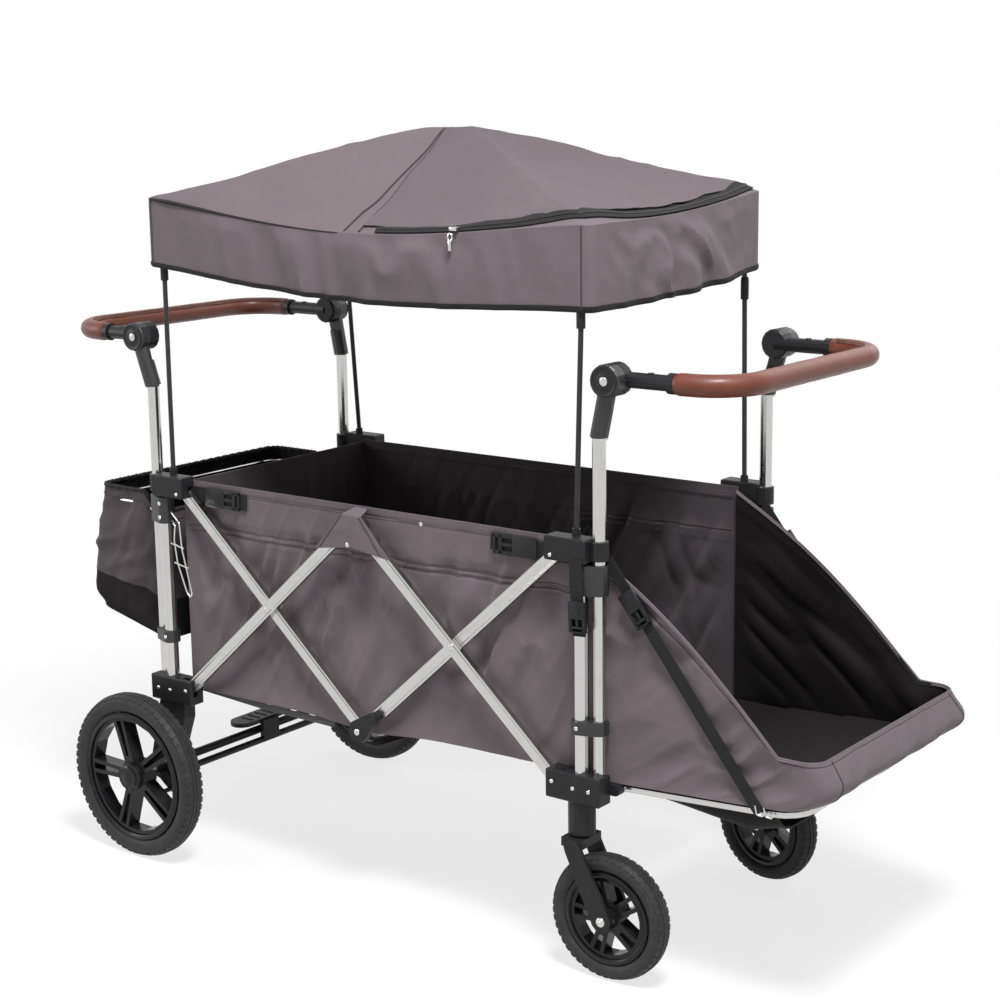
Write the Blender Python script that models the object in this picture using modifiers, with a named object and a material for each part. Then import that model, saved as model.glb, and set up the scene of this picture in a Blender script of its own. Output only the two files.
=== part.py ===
"""Folding stroller wagon with a canopy, a footwell, two handles and a scissor frame.

Everything is drawn in wagon coordinates: x forward from the middle hinges, y to the wagon's
left, z up from the ground, in metres. One empty then moves the wagon so that its overall
box is centred on the origin.
"""
import math

import bmesh
import bpy
from mathutils import Matrix, Vector

# Scissor linkage
PIVOT_REACH = 0.386
LOW_PIVOT_Z = 0.296
HIGH_PIVOT_Z = 0.640
BAR_WIDTH = 0.020
BAR_THICKNESS = 0.009
BAR_LAP_GAP = 0.0006
INNER_BAR_Y = 0.2415
BAR_END_SETBACK = 0.032
KNUCKLE_REACH = 0.052
KNUCKLE_RADIUS = 0.0190
KNUCKLE_TIP_RADIUS = 0.0085
KNUCKLE_THICKNESS = 0.011
KNUCKLE_RIVET_INSET = 0.012
TONGUE_RADIUS = 0.0115
TONGUE_END_RADIUS = 0.0092
PACKING_RADIUS = 0.006
PIN_RADIUS = 0.004
RIVET_HEAD_RADIUS = 0.007
RIVET_HEAD_HEIGHT = 0.0022
RIVET_CROWN_SHARE = 0.7
TOUCH_GAP = 0.0003
RUNNING_GAP = 0.0004
SINK = 0.004
OVERSHOOT = 0.010

# Corner tubes
POST_X = PIVOT_REACH + 0.044
POST_Y = 0.247
POST_RADIUS = 0.011
POST_BORE_RADIUS = 0.0093
HANDLE_TUBE_X = POST_X + 0.0255
HANDLE_TUBE_Y = 0.238
HANDLE_TUBE_RADIUS = 0.010
SOCKET_DEPTH = 0.028
LOWER_CLAMP_Z = 0.385
LOWER_CLAMP_HEIGHT = 0.020
UPPER_CLAMP_Z = 0.607
UPPER_CLAMP_HEIGHT = 0.045
CLAMP_WALL = 0.004
TELESCOPE_RADIUS = 0.009
TELESCOPE_LENGTH = 0.205

# Corner brackets
BRACKET_WALL = 0.0055
BRACKET_INNER_Y = 0.2313
BRACKET_OUTER_Y = 0.2630
BRACKET_INBOARD_X = PIVOT_REACH - 0.012
LOW_BRACKET_OUTBOARD_X = HANDLE_TUBE_X + HANDLE_TUBE_RADIUS + BRACKET_WALL
LOW_BRACKET_BOTTOM_Z = LOW_PIVOT_Z - 0.026
LOW_BRACKET_TOP_Z = LOW_PIVOT_Z + 0.018
TOP_BRACKET_OUTBOARD_X = POST_X + POST_RADIUS + BRACKET_WALL
TOP_BRACKET_BOTTOM_Z = HIGH_PIVOT_Z - 0.008
TOP_BRACKET_TOP_Z = HIGH_PIVOT_Z + 0.028
TOP_SLEEVE_INSET = 0.004
SLOT_ROOM = 0.005
SLOT_DEPTH_X = PIVOT_REACH + BAR_WIDTH / 2 + SLOT_ROOM
SLOT_PLAY = 0.0015
BRACKET_EDGE = 0.002

# Canopy poles
POLE_FOOT_X = POST_X - 0.014
POLE_FOOT_Y = 0.2385
POLE_RADIUS = 0.004
POLE_SOCKET_RADIUS = 0.0065
POLE_SOCKET_HEIGHT = 0.010
FRONT_POLE_TOP_X = POLE_FOOT_X + 0.003
REAR_POLE_TOP_X = POLE_FOOT_X + 0.015
FRONT_POLE_TOP_Z = 1.090
REAR_POLE_TOP_Z = 1.102
POLE_TOP_Y = 0.2235

# Canopy
CANOPY_FRONT_X = FRONT_POLE_TOP_X + 0.025
CANOPY_REAR_X = REAR_POLE_TOP_X + 0.031
CANOPY_HALF_WIDTH = POLE_TOP_Y + 0.014
CANOPY_PEAK_X = -0.008
CANOPY_PEAK_Z = 1.241
CANOPY_FRONT_CORNER_Z = 1.111
CANOPY_REAR_CORNER_Z = 1.122
CANOPY_CORNER_RADIUS = 0.018
CANOPY_SIDE_SAG = 0.034
CANOPY_END_SAG = 0.008
CANOPY_FRONT_SKIRT = 0.125
CANOPY_REAR_SKIRT = 0.110
CANOPY_HEM_RISE = 0.012
CANOPY_PANEL_SAG = 0.010
CANOPY_WAVE = 0.0022
CANOPY_CLOTH = 0.003
RIB_RADIUS = 0.0025
RIB_HUB_RADIUS = 0.014
RIB_HUB_APEX_DROP = 0.0040
RIB_HUB_EDGE_DROP = 0.0165
RIB_HUB_FOOT_DROP = 0.0225
RIB_SOCKET_TOP = 0.0185
RIB_SOCKET_DEPTH = 0.020

# Handles
HUB_X = HANDLE_TUBE_X + 0.0225
HUB_Z = 0.899
HUB_RADIUS = 0.0240
HUB_EDGE = 0.003
HUB_SPLIT_Y = 0.2382
HUB_OUTER_Y = 0.2590
HUB_INNER_Y = 0.2175
HUB_LAP_REACH = 0.040
HUB_PIN_RADIUS = 0.005
SLEEVE_RADIUS = 0.0135
SLEEVE_BOTTOM_Z = HUB_Z - 0.084
SLEEVE_HUB_Y = HUB_OUTER_Y - SLEEVE_RADIUS - 0.0010
ARM_RADIUS = 0.0115
ARM_Y = 0.2262
ARM_LENGTH = 0.100
COLLAR_RADIUS = 0.0150
COLLAR_LENGTH = 0.010
GRIP_START_X = HUB_X + ARM_LENGTH
GRIP_DEPTH = 0.090
GRIP_REACH = GRIP_START_X + GRIP_DEPTH
GRIP_BEND = GRIP_DEPTH * 5 / 6
GRIP_RADIUS = 0.0160
GRIP_CORE_RADIUS = 0.0100

# Rear wheels and axle
REAR_WHEEL_X = POST_X + 0.034
REAR_WHEEL_Y = 0.309
REAR_WHEEL_RADIUS = 0.1445
REAR_TYRE_DEPTH = 0.031
REAR_TYRE_WIDTH = 0.040
REAR_RIM_WIDTH = 0.026
REAR_HUB_RADIUS = 0.024
REAR_HUB_STAND = 0.002
REAR_CAP_STAND = 0.005
AXLE_RADIUS = 0.006
AXLE_TUBE_RADIUS = 0.0075
LEG_INNER_Y = 0.2345
LEG_OUTER_Y = 0.2600
LEG_FOOT_RADIUS = 0.021
LEG_SHOULDER = 0.030
LEG_TOP_FRONT_X = PIVOT_REACH + 0.008
LEG_TOP_REAR_X = POST_X + 0.022
SPACER_FOOT_RADIUS = 0.0125
SPACER_TIP_RADIUS = 0.0105

# Wheels in common
SPOKE_COUNT = 5
RIM_DEPTH = 0.011
WINDOW_MARGIN = 0.004
SPOKE_HALF_FOOT = 0.0105
SPOKE_HALF_TIP = 0.0125
SPOKE_SLOT_FOOT = 0.0032
SPOKE_SLOT_TIP = 0.0060
SPOKE_SLOT_RISE = 0.008
CAP_EDGE = 0.003
TYRE_SHOULDER = 0.004
TYRE_RING_ANGLES = (10, 50, 90, 130, 170)

# Parking brake
BRAKE_ROD_X = POST_X + 0.018
BRAKE_ROD_Z = REAR_WHEEL_RADIUS - 0.0145
BRAKE_ROD_RADIUS = 0.006
BRAKE_BOSS_RADIUS = 0.0125
PEDAL_HALF_SPAN = 0.048
PEDAL_RADIUS = 0.022
PEDAL_X = BRAKE_ROD_X + 0.020
PEDAL_BOTTOM_Z = BRAKE_ROD_Z + 0.033
PEDAL_THICKNESS = 0.008
PEDAL_ARM_HALF_WIDTH = 0.020
PEDAL_ARM_DEPTH = 0.0095
PEDAL_RIB_COUNT = 5
PEDAL_RIB_STEP = 0.018
PEDAL_RIB_WIDTH = 0.004
PEDAL_RIB_RISE = 0.0015
DOG_THICKNESS = 0.006
DOG_REACH = 0.026
DOG_HUB_RADIUS = 0.009
DOG_TIP_RADIUS = 0.006
DOG_PIN_TIP_Y = REAR_WHEEL_Y - 0.025

# Front casters
CASTER_X = POST_X - 0.005
CASTER_Y = 0.240
CASTER_TURN = {"left": -11.0, "right": 2.0}
CASTER_HOUSING_RADIUS = 0.021
CASTER_HOUSING_BOTTOM_Z = 0.2155
CASTER_HOUSING_EDGE = 0.003
CASTER_STEM_RADIUS = 0.008
CASTER_STEM_TOP_Z = 0.262
FRONT_WHEEL_RADIUS = 0.097
FRONT_TYRE_DEPTH = 0.025
FRONT_TYRE_WIDTH = 0.036
FRONT_RIM_WIDTH = 0.024
FRONT_HUB_RADIUS = 0.018
CASTER_TRAIL = 0.050
FORK_INNER = 0.0235
FORK_OUTER = 0.0295
FORK_CROWN_BOTTOM_Z = 0.2010
FORK_CROWN_TOP_Z = CASTER_HOUSING_BOTTOM_Z - 0.0005
FORK_CROWN_RADIUS = 0.0140
FORK_CROWN_REAR = 0.020
FORK_CROWN_FRONT = 0.017
FORK_FOOT_RADIUS = 0.0165
FORK_AXLE_RADIUS = 0.004
FORK_AXLE_STAND = 0.003

# Tub
TUB_REAR_X = PIVOT_REACH + 0.014
TUB_FRONT_X = PIVOT_REACH + 0.023
REAR_PANEL_X = 0.002 - TUB_REAR_X
TUB_BOTTOM_Z = LOW_PIVOT_Z + 0.004
TUB_TOP_Z = HIGH_PIVOT_Z + 0.020
PANEL_OUTER_Y = 0.2310
PANEL_CLOTH = 0.0032
PANEL_FOLD = 0.0026
PANEL_FOLD_COUNT = 7
PANEL_DIP = 0.012
PANEL_DIP_REACH = 0.09
REAR_PANEL_DROP = 0.004
REAR_PANEL_WAVE = 0.002
FLOOR_THICKNESS = 0.010
FLOOR_BOARDS = 4
FLOOR_CREASE_DEPTH = 0.005
FLOOR_CREASE_REACH = 0.012
FLAP_HALF_WIDTH = 0.078
FLAP_HALF_APEX = 0.016
FLAP_FOOT_Z = TUB_TOP_Z - 0.072
FLAP_APEX_Z = TUB_TOP_Z + 0.002
FLAP_INNER_Y = 0.2592
FLAP_CLOTH = 0.0025

# Footwell
FOOTWELL_REAR_X = TUB_FRONT_X + 0.003
FOOTWELL_OUTER_Y = 0.2235
FOOTWELL_FRONT_X = FOOTWELL_REAR_X + 0.393
FOOTWELL_BULGE = 0.027
FOOTWELL_UNDERCUT = 0.030
FOOTWELL_CORNER = 0.014
FOOTWELL_BELLY = 0.004
FOOTWELL_WALL = 0.0075
FOOTWELL_CUTS = 4
FOOTWELL_LIP_Z = 0.392
FOOTWELL_BREAK_X = FOOTWELL_REAR_X + 0.330
FOOTWELL_RIM_REAR_Z = TUB_TOP_Z - 0.005
FOOTWELL_FLOOR_BREAK_X = FOOTWELL_REAR_X + 0.0725
FOOTWELL_FLOOR_SLOPE = 0.060
FOOTWELL_RIM_BOW = 0.024

# Footrest under the footwell
FOOTREST_PIVOT_X = LOW_BRACKET_OUTBOARD_X + 0.009
FOOTREST_PIVOT_Z = TUB_BOTTOM_Z - 0.0085
FOOTREST_TUBE_Y = 0.2125
FOOTREST_TUBE_RADIUS = 0.0065
FOOTREST_LENGTH = 0.292
FOOTREST_REACH = FOOTREST_PIVOT_X + FOOTREST_LENGTH
FOOTREST_BEND = 0.040
FOOTREST_EYE_RADIUS = 0.0080
FOOTREST_EYE_INNER_Y = 0.2040
FOOTREST_EYE_OUTER_Y = 0.2210
POUCH_REAR_X = FOOTREST_PIVOT_X + 0.020
POUCH_FRONT_X = FOOTREST_REACH - 0.042
POUCH_DEPTH = 0.055
POUCH_CLOTH = 0.0025
POUCH_FRONT_SHARE = 0.28
POUCH_HALF_WIDTH = FOOTREST_TUBE_Y - FOOTREST_TUBE_RADIUS - POUCH_CLOTH / 4 - TOUCH_GAP

# Footwell straps
STRAP_WIDTH = 0.020
STRAP_THICKNESS = 0.0015
STRAP_Y = FOOTWELL_OUTER_Y + TOUCH_GAP
STRAP_TOP_X = HANDLE_TUBE_X + 0.023
STRAP_TOP_Z = 0.616
STRAP_FOOT_X = FOOTREST_REACH - 0.056
STRAP_TAB_BELOW = 0.0035
STRAP_TAB_ABOVE = 0.001
BUCKLE_LENGTH = 0.046
BUCKLE_WIDTH = 0.027
BUCKLE_DEPTH = 0.008
BUCKLE_SHARE = 0.22

# Storage basket behind the rear posts
BASKET_FRONT_X = HANDLE_TUBE_X + HANDLE_TUBE_RADIUS + 0.008
BASKET_REAR_X = BASKET_FRONT_X + 0.152
BASKET_HALF_WIDTH = 0.222
BASKET_RIM_Z = 0.625
BASKET_FRONT_RIM_Z = 0.590
BASKET_FRONT_SHARE = 0.28
BASKET_FLOOR_Z = 0.362
BASKET_FLOOR_RISE = 0.042
BASKET_FLARE = 0.054
BASKET_ROUNDING = 0.35
BASKET_SIDE_BULGE = 0.02
BASKET_CLOTH = 0.003
HANGER_RADIUS = 0.0025
HANGER_Y = 0.2162
HANGER_Z = 0.6020
HANGER_REACH = BASKET_REAR_X - 0.006
HANGER_BEND = 0.030
HANGER_STEP = 0.012

# Sides on round solids
PIN_ROUND = 8
SMALL_ROUND = 12
MEDIUM_ROUND = 16
LARGE_ROUND = 24
FLAT_ANGLE = math.radians(0.1)

COLOURS = {
    "aluminium": ((0.78, 0.77, 0.76), 0.22, 1.0),
    "black_plastic": ((0.016, 0.016, 0.018), 0.45, 0.0),
    "grey_plastic": ((0.055, 0.053, 0.055), 0.48, 0.0),
    "charcoal_cloth": ((0.115, 0.095, 0.100), 0.90, 0.0),
    "lining_cloth": ((0.022, 0.020, 0.023), 0.92, 0.0),
    "leatherette": ((0.225, 0.055, 0.025), 0.38, 0.0),
    "tyre_rubber": ((0.018, 0.018, 0.019), 0.70, 0.0),
    "webbing": ((0.014, 0.014, 0.015), 0.85, 0.0),
}

OUTER_BAR_Y = INNER_BAR_Y + BAR_THICKNESS + BAR_LAP_GAP
ENDS = {"front": 1, "rear": -1}
SIDES = {"left": 1, "right": -1}
BAR_LENGTH = math.hypot(PIVOT_REACH, HIGH_PIVOT_Z - LOW_PIVOT_Z)
BAR_HALF = BAR_THICKNESS / 2

materials = {}
origins = {}


def clear_scene():
    for obj in list(bpy.data.objects):
        bpy.data.objects.remove(obj, do_unlink=True)


def make_collection(name):
    group = bpy.data.collections.new(name)
    bpy.context.scene.collection.children.link(group)
    return group


def make_materials():
    for name, (colour, roughness, metallic) in COLOURS.items():
        material = bpy.data.materials.new(name)
        material.use_nodes = True
        shader = material.node_tree.nodes["Principled BSDF"]
        shader.inputs["Base Color"].default_value = (*colour, 1.0)
        shader.inputs["Roughness"].default_value = roughness
        shader.inputs["Metallic"].default_value = metallic
        materials[name] = material


clear_scene()
parts = make_collection("stroller_wagon")
cutters = make_collection("cutters")
make_materials()


def object_from_bmesh(bm, closed=True):
    if closed:
        bm.normal_update()
        bmesh.ops.recalc_face_normals(bm, faces=bm.faces)
    mesh = bpy.data.meshes.new("solid")
    bm.to_mesh(mesh)
    bm.free()
    obj = bpy.data.objects.new("solid", mesh)
    cutters.objects.link(obj)
    return obj


def evaluated_mesh(obj):
    """The object's mesh with its modifiers applied, in its own coordinates."""
    bpy.context.view_layer.update()
    graph = bpy.context.evaluated_depsgraph_get()
    return bpy.data.meshes.new_from_object(obj.evaluated_get(graph), depsgraph=graph)


def baked(obj):
    """A plain mesh object in place of a curve or of a mesh with modifiers."""
    mesh = evaluated_mesh(obj)
    mesh.transform(obj.matrix_world)
    bm = bmesh.new()
    bm.from_mesh(mesh)
    bmesh.ops.remove_doubles(bm, verts=bm.verts, dist=1e-6)
    bpy.data.objects.remove(obj, do_unlink=True)
    return object_from_bmesh(bm)


def box(low, high, bevel=0.0):
    bm = bmesh.new()
    bmesh.ops.create_cube(bm, size=1.0)
    low = Vector(low)
    high = Vector(high)
    for i in range(3):
        if low[i] > high[i]:
            low[i], high[i] = high[i], low[i]
    size = high - low
    bmesh.ops.scale(bm, vec=size, verts=bm.verts)
    bmesh.ops.translate(bm, vec=(low + high) / 2, verts=bm.verts)
    if bevel > 0.0:
        bmesh.ops.bevel(bm, geom=bm.edges, offset=bevel, segments=1, affect="EDGES")
    return object_from_bmesh(bm)


def cylinder(start, end, radius, sides=SMALL_ROUND):
    start = Vector(start)
    end = Vector(end)
    axis = end - start
    bm = bmesh.new()
    bmesh.ops.create_cone(
        bm, cap_ends=True, segments=sides, radius1=radius, radius2=radius, depth=axis.length,
    )
    turn = axis.to_track_quat("Z", "Y").to_matrix().to_4x4()
    bm.transform(Matrix.Translation((start + end) / 2) @ turn)
    return object_from_bmesh(bm)


def plate(outline, holes, axis, near, far):
    """A flat outline with holes, extruded along Y or Z between two planes."""
    curve = bpy.data.curves.new("plate", "CURVE")
    curve.dimensions = "2D"
    curve.fill_mode = "BOTH"
    curve.extrude = abs(far - near) / 2
    for loop in [outline, *holes]:
        spline = curve.splines.new("POLY")
        spline.points.add(len(loop) - 1)
        for point, (u, v) in zip(spline.points, loop):
            point.co = (u, v, 0.0, 1.0)
        spline.use_cyclic_u = True
    obj = bpy.data.objects.new("plate", curve)
    cutters.objects.link(obj)
    middle = (near + far) / 2
    if axis == "Y":
        obj.rotation_euler = (math.pi / 2, 0.0, 0.0)
        obj.location = (0.0, middle, 0.0)
    else:
        obj.location = (0.0, 0.0, middle)
    return baked(obj)


def rod(points, radius, sides=SMALL_ROUND):
    """A round tube or wire along a line of points, with filled ends."""
    curve = bpy.data.curves.new("rod", "CURVE")
    curve.dimensions = "3D"
    curve.bevel_depth = radius
    curve.bevel_resolution = sides // 2 - 2
    curve.use_fill_caps = True
    spline = curve.splines.new("POLY")
    spline.points.add(len(points) - 1)
    for point, place in zip(spline.points, points):
        point.co = (*place, 1.0)
    obj = bpy.data.objects.new("rod", curve)
    cutters.objects.link(obj)
    return baked(obj)


def turned(profile, centre, axis="Y", steps=SMALL_ROUND, closed=False):
    """A turned solid. The profile holds (radius, distance along the axis)."""
    mesh = bpy.data.meshes.new("turned")
    edges = [(i, i + 1) for i in range(len(profile) - 1)]
    if closed:
        edges.append((len(profile) - 1, 0))
    mesh.from_pydata([(radius, 0.0, along) for radius, along in profile], edges, [])
    obj = bpy.data.objects.new("turned", mesh)
    cutters.objects.link(obj)
    screw = obj.modifiers.new("turn", "SCREW")
    screw.steps = steps
    screw.render_steps = steps
    screw.use_merge_vertices = True
    screw.merge_threshold = 0.00001
    obj.location = centre
    if axis == "Y":
        obj.rotation_euler = (-math.pi / 2, 0.0, 0.0)
    return baked(obj)


def thickened(bm, thickness, offset):
    """A closed cloth from an open surface. Offset -1 grows it against its normals."""
    obj = object_from_bmesh(bm, closed=False)
    modifier = obj.modifiers.new("cloth", "SOLIDIFY")
    modifier.thickness = thickness
    modifier.offset = offset
    modifier.use_even_offset = True
    return baked(obj)


def combined(base, join=(), cut=()):
    """The base solid with others joined to it and then others cut out of it."""
    steps = [(other, "UNION") for other in join] + [(other, "DIFFERENCE") for other in cut]
    for other, operation in steps:
        modifier = base.modifiers.new(operation.lower(), "BOOLEAN")
        modifier.operation = operation
        modifier.solver = "EXACT"
        modifier.object = other
        base = baked(base)
        bpy.data.objects.remove(other, do_unlink=True)
    bm = bmesh.new()
    bm.from_mesh(base.data)
    bmesh.ops.dissolve_limit(bm, angle_limit=FLAT_ANGLE, verts=bm.verts, edges=bm.edges)
    bm.to_mesh(base.data)
    bm.free()
    return base


def pivot(name, place, parent=None, turn=0.0):
    """An empty on a joint's axis, or at the root of the wagon."""
    empty = bpy.data.objects.new(name, None)
    empty.empty_display_size = 0.03
    parts.objects.link(empty)
    place = Vector(place)
    origins[name] = place
    empty.location = place
    if parent is not None:
        empty.parent = bpy.data.objects[parent]
        empty.location = place - origins[parent]
    empty.rotation_euler = (0.0, 0.0, math.radians(turn))
    return empty


def finished(obj, name, material, parent, origin=None, smooth=35.0):
    """Names a solid, dresses it and hangs it on its joint's empty."""
    origin = Vector(origin) if origin is not None else origins[parent].copy()
    obj.data.transform(Matrix.Translation(-origin))
    obj.name = name
    obj.data.name = name
    obj.parent = bpy.data.objects[parent]
    obj.location = origin - origins[parent]
    obj.data.materials.clear()
    obj.data.materials.append(materials[material])
    obj.data.shade_smooth()
    obj.data.set_sharp_from_angle(angle=math.radians(smooth))
    cutters.objects.unlink(obj)
    parts.objects.link(obj)
    return obj


def arc(centre, radius, start, end, count):
    """Points on an arc, angles in degrees, both ends included."""
    points = []
    for i in range(count + 1):
        angle = math.radians(start + (end - start) * i / count)
        points.append((centre[0] + radius * math.cos(angle), centre[1] + radius * math.sin(angle)))
    return points


def circle(centre, radius, count=SMALL_ROUND):
    return arc(centre, radius, 0.0, 360.0, count)[:-1]


def hull(points):
    """Convex outline of flat points, by the monotone chain."""
    points = sorted(set((round(x, 7), round(y, 7)) for x, y in points))

    def half(run):
        chain = []
        for p in run:
            while len(chain) > 1:
                (ax, ay), (bx, by) = chain[-2:]
                if (bx - ax) * (p[1] - ay) - (by - ay) * (p[0] - ax) > 0:
                    break
                chain.pop()
            chain.append(p)
        return chain[:-1]

    return half(points) + half(points[::-1])


def capsule(first, first_radius, second, second_radius, count=SMALL_ROUND):
    return hull(circle(first, first_radius, count) + circle(second, second_radius, count))


def along(first, second, distance):
    """The point at a distance from the first point toward the second."""
    first = Vector(first)
    return tuple(first + (Vector(second) - first).normalized() * distance)


def smoothstep(value):
    value = min(max(value, 0.0), 1.0)
    return value * value * (3 - 2 * value)


def rivet(spot, side, outer, inner, inner_head=True):
    """A domed rivet through two bars, its axis along Y."""
    head = RIVET_HEAD_RADIUS
    rise = RIVET_HEAD_HEIGHT
    crown = head * RIVET_CROWN_SHARE
    back = rise * RIVET_CROWN_SHARE
    profile = [(0.0, outer + rise), (crown, outer + rise), (head, outer)]
    profile += [(PIN_RADIUS, outer), (PIN_RADIUS, inner)]
    if inner_head:
        profile += [(crown, inner), (crown, inner - back), (0.0, inner - back)]
    else:
        profile.append((0.0, inner))
    flipped = [(radius, side * y) for radius, y in profile]
    return turned(flipped, (spot[0], 0.0, spot[1]), "Y", PIN_ROUND)


def bar_outline(first, second, square_first=False):
    """A flat bar with round ends, or with a square end at the first point."""
    half = BAR_WIDTH / 2
    if not square_first:
        return capsule(first, half, second, half)
    direction = (Vector(second) - Vector(first)).normalized()
    across = Vector((-direction.y, direction.x)) * half
    first = Vector(first)
    return hull([tuple(first + across), tuple(first - across)] + circle(second, half))


def flat_bar(outline, holes, side, plane):
    """A bar or knuckle between two distances from the middle, on one side of the wagon."""
    return plate(outline, [circle(spot, PIN_RADIUS + TOUCH_GAP) for spot in holes], "Y",
                 side * plane[0], side * plane[1])


def make_bars():
    """Two lapped crossings a side. The front bars end in knuckles at the middle hinges."""
    rear_low, front_low = (-PIVOT_REACH, LOW_PIVOT_Z), (PIVOT_REACH, LOW_PIVOT_Z)
    rear_high, front_high = (-PIVOT_REACH, HIGH_PIVOT_Z), (PIVOT_REACH, HIGH_PIVOT_Z)
    mid_low, mid_high = (0.0, LOW_PIVOT_Z), (0.0, HIGH_PIVOT_Z)
    rear_cross = along(rear_low, mid_high, BAR_LENGTH / 2)
    front_cross = along(mid_low, front_high, BAR_LENGTH / 2)
    inner = (INNER_BAR_Y - BAR_HALF, INNER_BAR_Y + BAR_HALF)
    outer = (OUTER_BAR_Y - BAR_HALF, OUTER_BAR_Y + BAR_HALF)
    pin_out = outer[1] + RUNNING_GAP
    pin_in = inner[0] - RUNNING_GAP
    rivet_seat = outer[1] - RUNNING_GAP
    for side_name, side in SIDES.items():
        # rear lower bar, outer plane, from the rear bracket up to the middle top hinge
        bar = flat_bar(bar_outline(rear_low, mid_high), [rear_low, mid_high], side, outer)
        bar = combined(bar, join=[rivet(rear_cross, side, rivet_seat, pin_in)])
        place = (rear_low[0], side * OUTER_BAR_Y, rear_low[1])
        finished(bar, "rear_lower_bar_" + side_name, "aluminium", "fold_pivot", place)

        # rear upper bar, inner plane, from the rear top bracket down to the middle low hinge
        holes = [mid_low, rear_high, rear_cross]
        bar = flat_bar(bar_outline(mid_low, rear_high), holes, side, inner)
        place = (rear_cross[0], side * INNER_BAR_Y, rear_cross[1])
        finished(bar, "rear_upper_bar_" + side_name, "aluminium", "rear_cross_pivot", place)

        # front upper bar, inner plane, ends short of the middle low hinge
        seat = along(mid_low, front_high, BAR_END_SETBACK + KNUCKLE_RIVET_INSET)
        start = along(mid_low, front_high, BAR_END_SETBACK)
        holes = [front_high, front_cross, seat]
        bar = flat_bar(bar_outline(start, front_high, True), holes, side, inner)
        place = (mid_low[0], side * INNER_BAR_Y, mid_low[1])
        finished(bar, "front_upper_bar_" + side_name, "aluminium", "low_mid_pivot", place)

        # its knuckle, a disc over the rear bar's end with a tip riveted to the front bar
        face = (inner[1] + RUNNING_GAP, inner[1] + RUNNING_GAP + KNUCKLE_THICKNESS)
        end = along(mid_low, front_high, KNUCKLE_REACH - KNUCKLE_TIP_RADIUS)
        outline = capsule(mid_low, KNUCKLE_RADIUS, end, KNUCKLE_TIP_RADIUS, MEDIUM_ROUND)
        rivets = [rivet(spot, side, face[1] - RUNNING_GAP, pin_in) for spot in (mid_low, seat)]
        knuckle = combined(flat_bar(outline, [], side, face), join=rivets)
        place = (mid_low[0], side * OUTER_BAR_Y, mid_low[1])
        finished(knuckle, "middle_knuckle_" + side_name, "black_plastic", "low_mid_pivot", place)

        # front lower bar, outer plane, with its tongue at the middle top hinge in the inner plane
        start = along(mid_high, front_low, BAR_END_SETBACK)
        bar = flat_bar(bar_outline(start, front_low, True), [front_low], side, outer)
        end = along(mid_high, front_low, KNUCKLE_REACH - TONGUE_END_RADIUS)
        tongue = flat_bar(capsule(mid_high, TONGUE_RADIUS, end, TONGUE_END_RADIUS), [], side, inner)
        seat = along(mid_high, front_low, BAR_END_SETBACK + PACKING_RADIUS + TOUCH_GAP)
        packing = flat_bar(circle(seat, PACKING_RADIUS), [], side, (inner[1] - 0.001, outer[0] + 0.001))
        pin = rivet(mid_high, side, pin_out, inner[0] + 0.002, False)
        crossing = rivet(front_cross, side, rivet_seat, pin_in)
        bar = combined(bar, join=[packing, tongue, pin, crossing])
        place = (mid_high[0], side * OUTER_BAR_Y, mid_high[1])
        finished(bar, "front_lower_bar_" + side_name, "aluminium", "high_mid_pivot", place)


def make_clamp(end, side, centre_z, height):
    """A figure-eight collar that ties the handle tube to the post."""
    post = (end * POST_X, side * POST_Y)
    tube = (end * HANDLE_TUBE_X, side * HANDLE_TUBE_Y)
    outline = capsule(post, POST_RADIUS + CLAMP_WALL, tube, HANDLE_TUBE_RADIUS + CLAMP_WALL)
    holes = [circle(tube, HANDLE_TUBE_RADIUS + TOUCH_GAP)]
    return plate(outline, holes, "Z", centre_z - height / 2, centre_z + height / 2)


def make_corner_tubes():
    foot = LOW_BRACKET_TOP_Z - SOCKET_DEPTH + TOUCH_GAP
    post_top = UPPER_CLAMP_Z + UPPER_CLAMP_HEIGHT / 2
    for end_name, end in ENDS.items():
        frame = end_name + "_frame"
        for side_name, side in SIDES.items():
            x, y = end * POST_X, side * POST_Y
            post = cylinder((x, y, foot), (x, y, post_top), POST_RADIUS)
            bore = cylinder((x, y, foot - OVERSHOOT), (x, y, post_top + OVERSHOOT), POST_BORE_RADIUS)
            clamps = [
                make_clamp(end, side, LOWER_CLAMP_Z, LOWER_CLAMP_HEIGHT),
                make_clamp(end, side, UPPER_CLAMP_Z, UPPER_CLAMP_HEIGHT - 2 * TOUCH_GAP),
            ]
            post = combined(post, join=clamps, cut=[bore])
            finished(post, f"{end_name}_post_{side_name}", "aluminium", frame)
            tube = make_handle_tube(end, side, foot)
            finished(tube, f"{end_name}_handle_tube_{side_name}", "aluminium", frame)


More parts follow.
